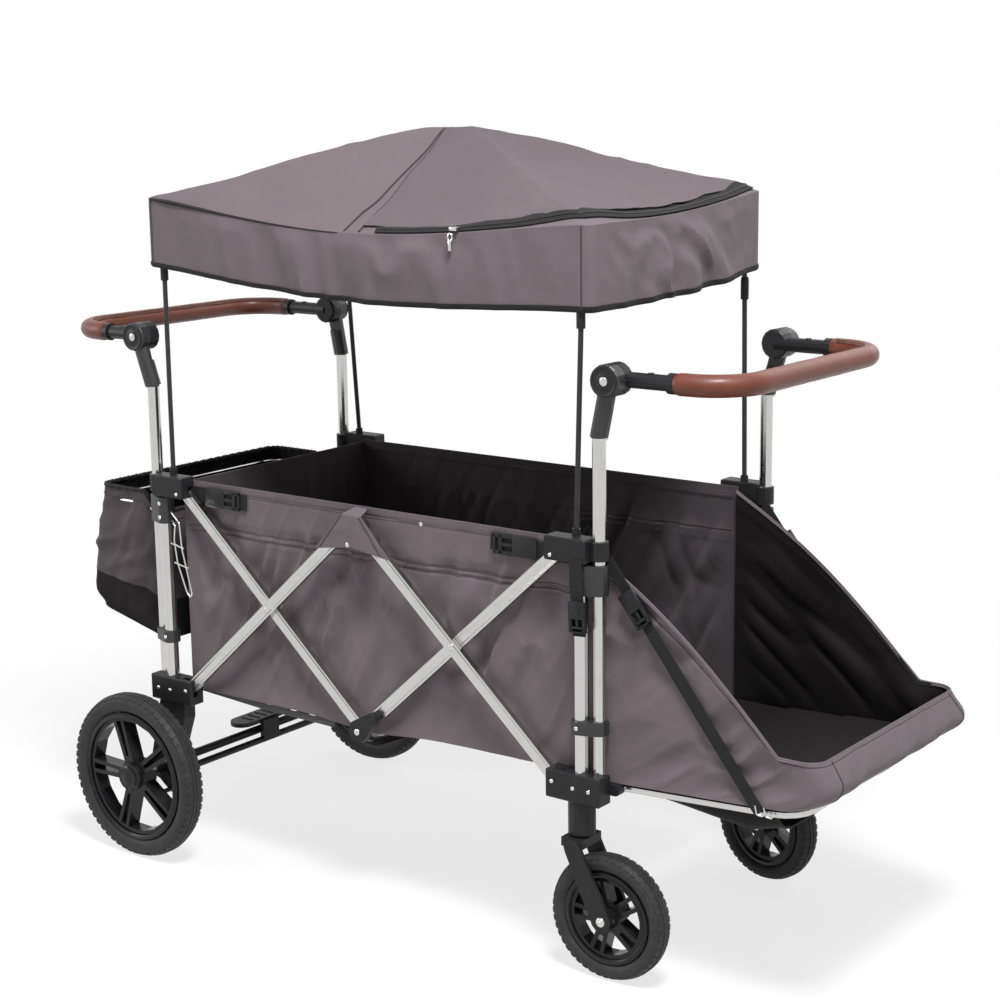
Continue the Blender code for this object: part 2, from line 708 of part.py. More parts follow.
def make_handle_tube(end, side, foot):
    """The tall tube with the lower half of the handle's hinge on top."""
    x, y = end * HANDLE_TUBE_X, side * HANDLE_TUBE_Y
    hub = Vector((end * HUB_X, side * SLEEVE_HUB_Y, HUB_Z))
    bottom = Vector((x, y, SLEEVE_BOTTOM_Z))
    tube = cylinder((x, y, foot), (x, y, SLEEVE_BOTTOM_Z + SINK), HANDLE_TUBE_RADIUS)
    sleeve = cylinder(bottom, along(hub, bottom, -SINK), SLEEVE_RADIUS)
    split = side * (HUB_SPLIT_Y + RUNNING_GAP)
    disc = hub_disc(end, side * (HUB_SPLIT_Y - SINK), side * HUB_OUTER_Y)
    lap = box((hub.x - HUB_LAP_REACH, split, HUB_Z - HUB_LAP_REACH),
              (hub.x + HUB_LAP_REACH, side * HUB_INNER_Y, HUB_Z + HUB_LAP_REACH))
    pin = cylinder((hub.x, side * (HUB_OUTER_Y - SINK), HUB_Z),
                   (hub.x, side * (HUB_INNER_Y + SINK), HUB_Z), HUB_PIN_RADIUS)
    solid = combined(tube, join=[sleeve, disc], cut=[lap])
    return combined(solid, join=[pin])


def hub_disc(end, inner_y, outer_y):
    """A round hub with a rounded outer rim, its axis along Y."""
    edge = math.copysign(HUB_EDGE, outer_y - inner_y)
    profile = [
        (0.0, outer_y), (HUB_RADIUS - HUB_EDGE, outer_y), (HUB_RADIUS, outer_y - edge),
        (HUB_RADIUS, inner_y), (0.0, inner_y),
    ]
    return turned(profile, (end * HUB_X, 0.0, HUB_Z), "Y", MEDIUM_ROUND)


def upright(x, y, low, high, radius):
    return cylinder((x, y, low), (x, y, high), radius)


def bracket_pin(x, z, side):
    """A pivot pin across a bracket's slot."""
    inner = side * (BRACKET_INNER_Y + SINK / 2)
    outer = side * (BRACKET_OUTER_Y - SINK / 2)
    return cylinder((x, inner, z), (x, outer, z), PIN_RADIUS)


def make_low_brackets():
    near = OUTER_BAR_Y - BAR_HALF - RUNNING_GAP
    far = OUTER_BAR_Y + BAR_HALF + RUNNING_GAP
    socket_floor = LOW_BRACKET_TOP_Z - SOCKET_DEPTH
    over = LOW_BRACKET_TOP_Z + OVERSHOOT
    slot_floor = LOW_PIVOT_Z - BAR_WIDTH / 2 - SLOT_PLAY
    for end_name, end in ENDS.items():
        extra_shapes = caster_housing if end_name == "front" else rear_leg
        for side_name, side in SIDES.items():
            block = box((end * BRACKET_INBOARD_X, side * BRACKET_INNER_Y, LOW_BRACKET_BOTTOM_Z),
                        (end * LOW_BRACKET_OUTBOARD_X, side * BRACKET_OUTER_Y, LOW_BRACKET_TOP_Z),
                        BRACKET_EDGE)
            slot = box((end * (BRACKET_INBOARD_X - OVERSHOOT), side * near, slot_floor),
                       (end * SLOT_DEPTH_X, side * far, over))
            post_hole = upright(end * POST_X, side * POST_Y, socket_floor, over, POST_RADIUS + TOUCH_GAP)
            tube_hole = upright(end * HANDLE_TUBE_X, side * HANDLE_TUBE_Y, socket_floor, over,
                                HANDLE_TUBE_RADIUS + TOUCH_GAP)
            joins, cuts = extra_shapes(side)
            block = combined(block, join=joins, cut=[slot, post_hole, tube_hole, *cuts])
            block = combined(block, join=[bracket_pin(end * PIVOT_REACH, LOW_PIVOT_Z, side)])
            finished(block, f"{end_name}_bracket_{side_name}", "black_plastic", end_name + "_frame")


def caster_housing(side):
    """The caster's barrel, and the boss and pin that the footrest turns on."""
    edge = CASTER_HOUSING_EDGE
    barrel = turned(
        [(0.0, LOW_BRACKET_BOTTOM_Z + edge), (CASTER_HOUSING_RADIUS, LOW_BRACKET_BOTTOM_Z + edge),
         (CASTER_HOUSING_RADIUS, CASTER_HOUSING_BOTTOM_Z + edge),
         (CASTER_HOUSING_RADIUS - edge, CASTER_HOUSING_BOTTOM_Z), (0.0, CASTER_HOUSING_BOTTOM_Z)],
        (CASTER_X, side * CASTER_Y, 0.0), "Z", MEDIUM_ROUND)
    boss_inner = FOOTREST_EYE_OUTER_Y + RUNNING_GAP
    axis = (FOOTREST_PIVOT_X, FOOTREST_PIVOT_Z)
    root = (LOW_BRACKET_OUTBOARD_X - OVERSHOOT, FOOTREST_PIVOT_Z)
    boss = plate(capsule(axis, FOOTREST_EYE_RADIUS, root, FOOTREST_EYE_RADIUS), [], "Y",
                 side * boss_inner, side * (BRACKET_INNER_Y + SINK))
    pin = cylinder((axis[0], side * (boss_inner + SINK / 2), axis[1]),
                   (axis[0], side * (FOOTREST_EYE_INNER_Y + SINK / 2), axis[1]), PIN_RADIUS)
    bore = upright(CASTER_X, side * CASTER_Y, CASTER_HOUSING_BOTTOM_Z - OVERSHOOT,
                   CASTER_STEM_TOP_Z + RUNNING_GAP, CASTER_STEM_RADIUS + TOUCH_GAP)
    return [barrel, boss, pin], [bore]


def rear_leg(side):
    """The leg from the rear bracket down to the axle, with the wheel's spacer."""
    axle = (-REAR_WHEEL_X, REAR_WHEEL_RADIUS)
    top = LOW_BRACKET_BOTTOM_Z + SINK
    brake = (-BRAKE_ROD_X, BRAKE_ROD_Z)
    shoulders = [(-LEG_TOP_REAR_X, top), (-LEG_TOP_FRONT_X, top), (-LEG_TOP_FRONT_X, top - LEG_SHOULDER)]
    outline = hull(circle(axle, LEG_FOOT_RADIUS, MEDIUM_ROUND) + circle(brake, BRAKE_BOSS_RADIUS) + shoulders)
    holes = [circle(axle, AXLE_RADIUS + TOUCH_GAP), circle(brake, BRAKE_ROD_RADIUS + TOUCH_GAP)]
    leg = plate(outline, holes, "Y", side * LEG_INNER_Y, side * LEG_OUTER_Y)
    root = side * (LEG_OUTER_Y - SINK / 2)
    hub_face = side * (REAR_WHEEL_Y - REAR_TYRE_WIDTH / 2 - REAR_HUB_STAND - RUNNING_GAP)
    bore = AXLE_RADIUS + TOUCH_GAP
    spacer_profile = [(SPACER_FOOT_RADIUS, root), (SPACER_TIP_RADIUS, hub_face), (bore, hub_face), (bore, root)]
    spacer = turned(spacer_profile, (axle[0], 0.0, axle[1]), closed=True)
    return [leg, spacer], []


def make_top_brackets():
    """The brackets that slide on the handle tubes, each with the inner tube of its post."""
    near = INNER_BAR_Y - BAR_HALF - RUNNING_GAP
    far = INNER_BAR_Y + BAR_HALF + RUNNING_GAP
    under = TOP_BRACKET_BOTTOM_Z - OVERSHOOT
    over = TOP_BRACKET_TOP_Z + OVERSHOOT
    slot_roof = HIGH_PIVOT_Z + BAR_WIDTH / 2 + SLOT_PLAY
    for end_name, end in ENDS.items():
        for side_name, side in SIDES.items():
            block = box((end * BRACKET_INBOARD_X, side * BRACKET_INNER_Y, TOP_BRACKET_BOTTOM_Z),
                        (end * TOP_BRACKET_OUTBOARD_X, side * BRACKET_OUTER_Y, TOP_BRACKET_TOP_Z),
                        BRACKET_EDGE)
            tube_x, tube_y = end * HANDLE_TUBE_X, side * HANDLE_TUBE_Y
            sleeve = upright(tube_x, tube_y, TOP_BRACKET_BOTTOM_Z + TOP_SLEEVE_INSET,
                             TOP_BRACKET_TOP_Z - TOP_SLEEVE_INSET, HANDLE_TUBE_RADIUS + CLAMP_WALL)
            telescope = upright(end * POST_X, side * POST_Y, TOP_BRACKET_BOTTOM_Z - TELESCOPE_LENGTH,
                                TOP_BRACKET_BOTTOM_Z + SINK, TELESCOPE_RADIUS)
            foot = pole_foot(end, side)
            rise = pole_direction(end, side)
            socket = cylinder(foot - rise * SINK, foot + rise * POLE_SOCKET_HEIGHT, POLE_SOCKET_RADIUS)
            slot = box((end * (BRACKET_INBOARD_X - OVERSHOOT), side * near, under),
                       (end * SLOT_DEPTH_X, side * far, slot_roof))
            tube_hole = upright(tube_x, tube_y, under, over, HANDLE_TUBE_RADIUS + TOUCH_GAP)
            pole_hole = cylinder(foot - rise * POLE_SOCKET_HEIGHT,
                                 foot + rise * (POLE_SOCKET_HEIGHT + OVERSHOOT), POLE_RADIUS + TOUCH_GAP)
            block = combined(block, join=[sleeve, socket, telescope], cut=[slot, tube_hole, pole_hole])
            block = combined(block, join=[bracket_pin(end * PIVOT_REACH, HIGH_PIVOT_Z, side)])
            finished(block, f"{end_name}_top_bracket_{side_name}", "black_plastic", end_name + "_slider")


def pole_foot(end, side):
    return Vector((end * POLE_FOOT_X, side * POLE_FOOT_Y, TOP_BRACKET_TOP_Z))


def pole_top(end, side):
    if end > 0:
        return Vector((FRONT_POLE_TOP_X, side * POLE_TOP_Y, FRONT_POLE_TOP_Z))
    return Vector((-REAR_POLE_TOP_X, side * POLE_TOP_Y, REAR_POLE_TOP_Z))


def pole_direction(end, side):
    return (pole_top(end, side) - pole_foot(end, side)).normalized()


def make_poles():
    for end_name, end in ENDS.items():
        for side_name, side in SIDES.items():
            foot = pole_foot(end, side) - pole_direction(end, side) * (POLE_SOCKET_HEIGHT - TOUCH_GAP)
            pole = cylinder(foot, pole_top(end, side), POLE_RADIUS)
            finished(pole, f"{end_name}_canopy_pole_{side_name}", "black_plastic", end_name + "_slider")


def canopy_edge(count_side, count_end):
    """Points round the canopy's rounded rectangle, each with its share along that side."""
    radius = CANOPY_CORNER_RADIUS
    front, rear, width = CANOPY_FRONT_X, -CANOPY_REAR_X, CANOPY_HALF_WIDTH
    corners = [
        ((front - radius, -width + radius), -90), ((front - radius, width - radius), 0),
        ((rear + radius, width - radius), 90), ((rear + radius, -width + radius), 180),
    ]
    points = []
    for i, (centre, start) in enumerate(corners):
        points += [(x, y, 0.0, "corner") for x, y in arc(centre, radius, start, start + 90, 3)]
        here = Vector(arc(centre, radius, start + 90, start + 90, 1)[0])
        after_centre, after_start = corners[(i + 1) % 4]
        there = Vector(arc(after_centre, radius, after_start, after_start, 1)[0])
        count = count_end if i % 2 == 0 else count_side
        kind = "end" if i % 2 == 0 else "side"
        for k in range(1, count):
            share = k / count
            point = here.lerp(there, share)
            points.append((point.x, point.y, share, kind))
    return points


def make_canopy():
    """A peaked roof with sagging edges and a hanging skirt, thickened inward."""
    roof_rings = (0.18, 0.45, 0.72, 1.0)
    skirt_rings = (0.12, 1.0)
    peak = Vector((CANOPY_PEAK_X, 0.0, CANOPY_PEAK_Z))
    edge = canopy_edge(10, 6)
    sags = {"side": CANOPY_SIDE_SAG, "end": CANOPY_END_SAG, "corner": 0.0}
    bm = bmesh.new()
    top = bm.verts.new(peak)
    rings = []
    for share in roof_rings:
        ring = []
        for x, y, t, kind in edge:
            middle = math.sin(math.pi * t)
            rim_z = lengthwise(x, CANOPY_REAR_CORNER_Z, CANOPY_FRONT_CORNER_Z) - sags[kind] * middle ** 1.2
            z = peak.z + (rim_z - peak.z) * share
            z -= CANOPY_PANEL_SAG * middle * 4 * share * (1 - share)
            ring.append(bm.verts.new((peak.x + (x - peak.x) * share, y * share, z)))
        rings.append(ring)
    rim = rings[-1]
    for share in skirt_rings:
        ring = []
        for vert, (x, y, t, kind) in zip(rim, edge):
            drop = lengthwise(x, CANOPY_REAR_SKIRT, CANOPY_FRONT_SKIRT)
            drop -= CANOPY_HEM_RISE * math.sin(math.pi * t) if kind == "side" else 0.0
            wave = CANOPY_WAVE * share * math.sin(2 * math.pi * 4 * t) if kind != "corner" else 0.0
            out = Vector((x - peak.x, y, 0.0)).normalized()
            ring.append(bm.verts.new(vert.co - Vector((0.0, 0.0, drop * share)) + out * wave))
        rings.append(ring)
    count = len(edge)
    for i in range(count):
        j = (i + 1) % count
        bm.faces.new((top, rings[0][i], rings[0][j]))
        for inner, outer in zip(rings[:-1], rings[1:]):
            bm.faces.new((inner[i], outer[i], outer[j], inner[j]))
    shell = thickened(bm, CANOPY_CLOTH, -1.0)
    finished(shell, "canopy", "charcoal_cloth", "rear_slider", smooth=50.0)


def lengthwise(x, at_rear, at_front):
    """A size of the canopy that changes evenly from its rear edge to its front edge."""
    return at_rear + (at_front - at_rear) * (x + CANOPY_REAR_X) / (CANOPY_FRONT_X + CANOPY_REAR_X)


def make_canopy_frame():
    """Four ribs from a hub at the peak to sockets on the pole tops."""
    peak = Vector((CANOPY_PEAK_X, 0.0, CANOPY_PEAK_Z))
    hub = turned([(0.0, -RIB_HUB_APEX_DROP), (RIB_HUB_RADIUS, -RIB_HUB_EDGE_DROP),
                  (RIB_HUB_RADIUS, -RIB_HUB_FOOT_DROP), (0.0, -RIB_HUB_FOOT_DROP)], peak, "Z")
    start = peak - Vector((0.0, 0.0, RIB_HUB_EDGE_DROP))
    joins = []
    holes = []
    for end in ENDS.values():
        for side in SIDES.values():
            top = pole_top(end, side)
            rise = pole_direction(end, side)
            head = top + rise * RIB_SOCKET_TOP
            joins.append(cylinder(start, head - rise * RIB_RADIUS, RIB_RADIUS, PIN_ROUND))
            joins.append(cylinder(top - rise * RIB_SOCKET_DEPTH, head, POLE_SOCKET_RADIUS))
            holes.append(cylinder(top - rise * (RIB_SOCKET_DEPTH + OVERSHOOT), top + rise * TOUCH_GAP,
                                  POLE_RADIUS + TOUCH_GAP))
    frame = combined(hub, join=joins, cut=holes)
    finished(frame, "canopy_frame", "black_plastic", "rear_slider")


def make_handles():
    for end_name, end in ENDS.items():
        body = end_name + "_handle"
        arms = []
        for side in SIDES.values():
            hub = (end * HUB_X, side * ARM_Y, HUB_Z)
            collar_start = (end * (GRIP_START_X - COLLAR_LENGTH), side * ARM_Y, HUB_Z)
            grip_start = (end * (GRIP_START_X - TOUCH_GAP), side * ARM_Y, HUB_Z)
            arm = cylinder(hub, collar_start, ARM_RADIUS)
            collar = cylinder(along(collar_start, hub, SINK / 2), grip_start, COLLAR_RADIUS)
            disc = hub_disc(end, side * (HUB_SPLIT_Y - RUNNING_GAP), side * HUB_INNER_Y)
            pin_hole = cylinder((hub[0], side * (HUB_INNER_Y + SINK - RUNNING_GAP), HUB_Z),
                                (hub[0], side * (HUB_SPLIT_Y + SINK), HUB_Z), HUB_PIN_RADIUS + TOUCH_GAP)
            arms.append(combined(arm, join=[collar, disc], cut=[pin_hole]))
        core = rod(grip_route(end, GRIP_START_X - COLLAR_LENGTH / 2), GRIP_CORE_RADIUS, PIN_ROUND)
        bar = combined(core, join=arms)
        axis = (end * HUB_X, 0.0, HUB_Z)
        finished(bar, body + "_bar", "grey_plastic", body + "_pivot", axis)

        sleeve = rod(grip_route(end, GRIP_START_X), GRIP_RADIUS)
        bore = rod(grip_route(end, GRIP_START_X - OVERSHOOT), GRIP_CORE_RADIUS + TOUCH_GAP, PIN_ROUND)
        finished(combined(sleeve, cut=[bore]), body + "_grip", "leatherette", body + "_pivot", axis)


def grip_route(end, start_x):
    """The U of a handle: out along one arm, round two bends and back."""
    centre = (GRIP_REACH - GRIP_BEND, ARM_Y - GRIP_BEND)
    half = [(start_x, ARM_Y)] + arc(centre, GRIP_BEND, 90.0, 0.0, 4)
    route = half + [(x, -y) for x, y in reversed(half)]
    return [(end * x, y, HUB_Z) for x, y in route]


def wheel_windows(hub_radius, rim_inner):
    """Outlines of the openings between double-ribbed spokes."""
    windows = []
    low = hub_radius + WINDOW_MARGIN
    high = rim_inner - WINDOW_MARGIN
    slot = low + SPOKE_SLOT_RISE
    half = 180.0 / SPOKE_COUNT
    foot_edge = half - math.degrees(SPOKE_HALF_FOOT / low)
    tip_edge = half - math.degrees(SPOKE_HALF_TIP / high)
    slot_foot = math.degrees(SPOKE_SLOT_FOOT / slot)
    slot_tip = math.degrees(SPOKE_SLOT_TIP / high)
    for i in range(SPOKE_COUNT):
        centre = 2 * half * i
        windows.append(arc((0.0, 0.0), high, centre - tip_edge, centre + tip_edge, 3)
                       + arc((0.0, 0.0), low, centre + foot_edge, centre - foot_edge, 1))
        spoke = centre + half
        windows.append(arc((0.0, 0.0), high, spoke - slot_tip, spoke + slot_tip, 1)
                       + arc((0.0, 0.0), slot, spoke + slot_foot, spoke - slot_foot, 1))
    return windows


def make_rim(centre, outer_radius, width, hub_radius, hub_span, bore_radius, bore_depth):
    """A ribbed rim. Its hub runs between two distances along Y, its cap at the second."""
    x, y, z = centre

    def placed(points):
        return [(x + u, z + v) for u, v in points]

    face = plate(placed(circle((0.0, 0.0), outer_radius, LARGE_ROUND)),
                 [placed(loop) for loop in wheel_windows(hub_radius, outer_radius - RIM_DEPTH)],
                 "Y", y - width / 2, y + width / 2)
    open_end, closed_end = hub_span
    way = math.copysign(1.0, closed_end - open_end)
    shoulder = closed_end - 2 * way * CAP_EDGE
    hub = turned([(0.0, closed_end), (hub_radius - 2 * CAP_EDGE, closed_end), (hub_radius, shoulder),
                  (hub_radius, open_end), (0.0, open_end)], centre)
    bore = cylinder((x, y + open_end - way * OVERSHOOT, z), (x, y + open_end + way * bore_depth, z),
                    bore_radius)
    return combined(face, join=[hub], cut=[bore])


def make_tyre(centre, radius, depth, width, seat_width):
    """A turned tyre with a rounded crown, seated on its rim."""
    seat = radius - depth + TOUCH_GAP
    reach = depth - TOUCH_GAP - TYRE_SHOULDER
    section = [(seat, -seat_width / 2), (seat, seat_width / 2)]
    for degrees in TYRE_RING_ANGLES:
        angle = math.radians(degrees)
        bulge = math.copysign(abs(math.cos(angle)) ** 0.75, math.cos(angle)) * width / 2
        section.append((seat + TYRE_SHOULDER + reach * math.sin(angle) ** 0.62, bulge))
    return turned(section, centre, "Y", LARGE_ROUND, closed=True)


def make_rear_wheels():
    inner = REAR_TYRE_WIDTH / 2 + REAR_HUB_STAND
    outer = REAR_TYRE_WIDTH / 2 + REAR_CAP_STAND
    bore_depth = inner + outer - 2 * CAP_EDGE
    for side_name, side in SIDES.items():
        centre = (-REAR_WHEEL_X, side * REAR_WHEEL_Y, REAR_WHEEL_RADIUS)
        pivot_name = "rear_wheel_pivot_" + side_name
        rim = make_rim(centre, REAR_WHEEL_RADIUS - REAR_TYRE_DEPTH, REAR_RIM_WIDTH, REAR_HUB_RADIUS,
                       (-side * inner, side * outer), AXLE_RADIUS + TOUCH_GAP, bore_depth)
        finished(rim, "rear_rim_" + side_name, "black_plastic", pivot_name, centre)
        tyre = make_tyre(centre, REAR_WHEEL_RADIUS, REAR_TYRE_DEPTH, REAR_TYRE_WIDTH, REAR_RIM_WIDTH)
        finished(tyre, "rear_tyre_" + side_name, "tyre_rubber", pivot_name, centre)


def make_axle():
    tip = REAR_WHEEL_Y + REAR_TYRE_WIDTH / 2 - SINK
    shoulder = LEG_INNER_Y - TOUCH_GAP
    profile = [(0.0, tip), (AXLE_RADIUS, tip), (AXLE_RADIUS, shoulder), (AXLE_TUBE_RADIUS, shoulder)]
    profile += [(radius, -reach) for radius, reach in reversed(profile)]
    axle = turned(profile, (-REAR_WHEEL_X, 0.0, REAR_WHEEL_RADIUS))
    finished(axle, "rear_axle", "black_plastic", "rear_frame")


def make_brake():
    """The brake rod with its pedal, and a locking dog beside each wheel."""
    dog_low = LEG_OUTER_Y + RUNNING_GAP
    dog_high = dog_low + DOG_THICKNESS
    x, z = -BRAKE_ROD_X, BRAKE_ROD_Z
    bar = cylinder((x, -dog_high, z), (x, dog_high, z), BRAKE_ROD_RADIUS)
    joins = []
    tip = along((x, z), (-REAR_WHEEL_X, REAR_WHEEL_RADIUS), -DOG_REACH)
    for side in SIDES.values():
        outline = capsule((x, z), DOG_HUB_RADIUS, tip, DOG_TIP_RADIUS)
        joins.append(plate(outline, [], "Y", side * dog_low, side * dog_high))
        joins.append(cylinder((tip[0], side * (dog_low + SINK / 2), tip[1]),
                              (tip[0], side * DOG_PIN_TIP_Y, tip[1]), PIN_RADIUS))
    ends = [(-PEDAL_X, -PEDAL_HALF_SPAN), (-PEDAL_X, PEDAL_HALF_SPAN)]
    outline = capsule(ends[0], PEDAL_RADIUS, ends[1], PEDAL_RADIUS, MEDIUM_ROUND)
    top = PEDAL_BOTTOM_Z + PEDAL_THICKNESS
    joins.append(plate(outline, [], "Z", PEDAL_BOTTOM_Z, top))
    arm_rear = x - BRAKE_ROD_RADIUS / 2
    joins.append(box((arm_rear, -PEDAL_ARM_HALF_WIDTH, z - BRAKE_ROD_RADIUS / 2),
                     (arm_rear + PEDAL_ARM_DEPTH, PEDAL_ARM_HALF_WIDTH, PEDAL_BOTTOM_Z + SINK)))
    reach = PEDAL_RADIUS - PEDAL_THICKNESS
    for i in range(PEDAL_RIB_COUNT):
        y = (i - (PEDAL_RIB_COUNT - 1) / 2) * PEDAL_RIB_STEP
        joins.append(box((-PEDAL_X - reach, y - PEDAL_RIB_WIDTH / 2, top - SINK / 4),
                         (-PEDAL_X + reach, y + PEDAL_RIB_WIDTH / 2, top + PEDAL_RIB_RISE)))
    finished(combined(bar, join=joins), "brake_pedal", "black_plastic", "brake_pivot", (x, 0.0, z))


def make_casters():
    wheel_x = CASTER_X + CASTER_TRAIL
    for side_name, side in SIDES.items():
        y = side * CASTER_Y
        fork = make_fork(wheel_x, y)
        stem_foot = (CASTER_X, y, FORK_CROWN_TOP_Z)
        finished(fork, "caster_fork_" + side_name, "black_plastic", "caster_pivot_" + side_name, stem_foot)
        centre = (wheel_x, y, FRONT_WHEEL_RADIUS)
        pivot_name = "front_wheel_pivot_" + side_name
        half_hub = FORK_INNER - RUNNING_GAP
        rim = make_rim(centre, FRONT_WHEEL_RADIUS - FRONT_TYRE_DEPTH, FRONT_RIM_WIDTH, FRONT_HUB_RADIUS,
                       (-half_hub, half_hub), FORK_AXLE_RADIUS + TOUCH_GAP, 2 * half_hub + OVERSHOOT)
        finished(rim, "front_rim_" + side_name, "black_plastic", pivot_name, centre)
        tyre = make_tyre(centre, FRONT_WHEEL_RADIUS, FRONT_TYRE_DEPTH, FRONT_TYRE_WIDTH, FRONT_RIM_WIDTH)
        finished(tyre, "front_tyre_" + side_name, "tyre_rubber", pivot_name, centre)


def make_fork(wheel_x, y):
    """Two blades under a crown, with the swivel stem above and the wheel's axle below."""
    crown = (CASTER_X, FORK_CROWN_TOP_Z - FORK_CROWN_RADIUS)
    foot = (wheel_x, FRONT_WHEEL_RADIUS)
    outline = capsule(crown, FORK_CROWN_RADIUS, foot, FORK_FOOT_RADIUS)
    blades = [plate(outline, [], "Y", y + k * FORK_INNER, y + k * FORK_OUTER) for k in (1, -1)]
    half_crown = (FORK_INNER + FORK_OUTER) / 2
    web = box((CASTER_X - FORK_CROWN_REAR, y - half_crown, FORK_CROWN_BOTTOM_Z),
              (CASTER_X + FORK_CROWN_FRONT, y + half_crown, FORK_CROWN_TOP_Z))
    stem = upright(CASTER_X, y, FORK_CROWN_TOP_Z - SINK, CASTER_STEM_TOP_Z, CASTER_STEM_RADIUS)
    tip = FORK_OUTER + FORK_AXLE_STAND
    axle = cylinder((wheel_x, y - tip, FRONT_WHEEL_RADIUS), (wheel_x, y + tip, FRONT_WHEEL_RADIUS),
                    FORK_AXLE_RADIUS)
    return combined(blades[0], join=[web, blades[1], stem, axle])


def panel_wave(x, z):
    """How far a side panel's cloth stands off its plane: soft vertical folds, none at the ends."""
    span = TUB_FRONT_X + TUB_REAR_X
    t = (x + TUB_REAR_X) / span
    height = (z - TUB_BOTTOM_Z) / (TUB_TOP_Z - TUB_BOTTOM_Z)
    ends = smoothstep(t / 0.09) * smoothstep((1 - t) / 0.09)
    folds = math.sin(2 * math.pi * PANEL_FOLD_COUNT * t + 2.2 * height)
    belly = math.sin(math.pi * min(max(height, 0.0), 1.0))
    return ends * belly * PANEL_FOLD * (0.6 * folds - 0.4)


def make_side_panels():
    mid_y = PANEL_OUTER_Y - PANEL_CLOTH / 2
    apex = FLAP_APEX_Z - TUB_TOP_Z
    for side_name, side in SIDES.items():
        bm = bmesh.new()
        bmesh.ops.create_grid(bm, x_segments=28, y_segments=3, size=1 / 2)
        for vert in bm.verts:
            x = (vert.co.x + 1 / 2) * (TUB_FRONT_X + TUB_REAR_X) - TUB_REAR_X
            height = vert.co.y + 1 / 2
            dip = PANEL_DIP * math.exp(-(x / PANEL_DIP_REACH) ** 2)
            z = TUB_BOTTOM_Z - dip * (1 - height) + height * (TUB_TOP_Z - TUB_BOTTOM_Z)
            vert.co = (x, side * (PANEL_OUTER_Y + panel_wave(x, z)), z)
        panel = thickened(bm, PANEL_CLOTH, side)
        flap_outline = [(-FLAP_HALF_WIDTH, FLAP_FOOT_Z), (FLAP_HALF_WIDTH, FLAP_FOOT_Z),
                        (FLAP_HALF_APEX, FLAP_APEX_Z), (-FLAP_HALF_APEX, FLAP_APEX_Z)]
        flap = plate(flap_outline, [], "Y", side * FLAP_INNER_Y, side * (FLAP_INNER_Y + FLAP_CLOTH))
        half = FLAP_HALF_APEX - TOUCH_GAP
        bridge = box((-half, side * (mid_y - PANEL_CLOTH / 6), FLAP_APEX_Z - apex - PANEL_CLOTH),
                     (half, side * (FLAP_INNER_Y + FLAP_CLOTH / 2), FLAP_APEX_Z - apex - PANEL_CLOTH / 4))
        panel = combined(panel, join=[bridge, flap])
        finished(panel, "side_panel_" + side_name, "charcoal_cloth", "rear_frame", smooth=60.0)


def make_rear_panel():
    half = PANEL_OUTER_Y - PANEL_CLOTH - TOUCH_GAP
    top = TUB_TOP_Z - REAR_PANEL_DROP
    bm = bmesh.new()
    bmesh.ops.create_grid(bm, x_segments=12, y_segments=3, size=1 / 2)
    for vert in bm.verts:
        across = vert.co.x * 2
        height = vert.co.y + 1 / 2
        wave = math.sin(9 * math.pi * across) * math.sin(math.pi * height) * (1 - abs(across))
        z = TUB_BOTTOM_Z + height * (top - TUB_BOTTOM_Z)
        vert.co = (REAR_PANEL_X + REAR_PANEL_WAVE * wave, across * half, z)
    finished(thickened(bm, PANEL_CLOTH, 0.0), "rear_panel", "charcoal_cloth", "rear_frame", smooth=60.0)


def make_floor():
    """A padded mat on boards, with the three creases it folds on."""
    half = PANEL_OUTER_Y - PANEL_CLOTH - 2 * TOUCH_GAP
    rear = REAR_PANEL_X + PANEL_CLOTH / 2 + 2 * TOUCH_GAP
    bottom = TUB_BOTTOM_Z + 0.001
    top = TUB_BOTTOM_Z + FLOOR_THICKNESS
    length = (TUB_FRONT_X - rear) / FLOOR_BOARDS
    outline = [(rear, bottom), (TUB_FRONT_X, bottom)]
    for i in reversed(range(FLOOR_BOARDS)):
        start = rear + i * length
        outline.append((start + length, top - FLOOR_CREASE_DEPTH))
        outline.append((start + length - FLOOR_CREASE_REACH, top))
        outline.append((start + FLOOR_CREASE_REACH, top))
    outline.append((rear, top - FLOOR_CREASE_DEPTH))
    finished(plate(outline, [], "Y", -half, half), "floor_board", "lining_cloth", "rear_frame")


def open_bag(low, high, cuts, shape, wall, open_faces):
    """A box cage with some faces left open, shaped by a function and thickened inward."""
    bm = bmesh.new()
    bmesh.ops.create_cube(bm, size=1.0)
    ways = [Vector(way) for way in open_faces]
    doomed = [face for face in bm.faces if any(face.normal.dot(way) > 0.9 for way in ways)]
    bmesh.ops.delete(bm, geom=doomed, context="FACES")
    bmesh.ops.subdivide_edges(bm, edges=bm.edges, cuts=cuts, use_grid_fill=True)
    for vert in bm.verts:
        share = [vert.co[i] + 1 / 2 for i in range(3)]
        place = [low[i] + share[i] * (high[i] - low[i]) for i in range(3)]
        vert.co = shape(share, place)
    return thickened(bm, wall, -1.0)


def footwell_floor(x):
    """Height of the footwell's underside, level at the rear and rising to the lip."""
    return TUB_BOTTOM_Z + max(x - FOOTWELL_FLOOR_BREAK_X, 0.0) * FOOTWELL_FLOOR_SLOPE


def footwell_rim(x):
    """Height of the slanted side edge."""
    t = min(max((x - FOOTWELL_REAR_X) / (FOOTWELL_BREAK_X - FOOTWELL_REAR_X), 0.0), 1.0)
    straight = FOOTWELL_RIM_REAR_Z + (FOOTWELL_LIP_Z - FOOTWELL_RIM_REAR_Z) * t
    return straight + FOOTWELL_RIM_BOW * math.sin(math.pi * t)


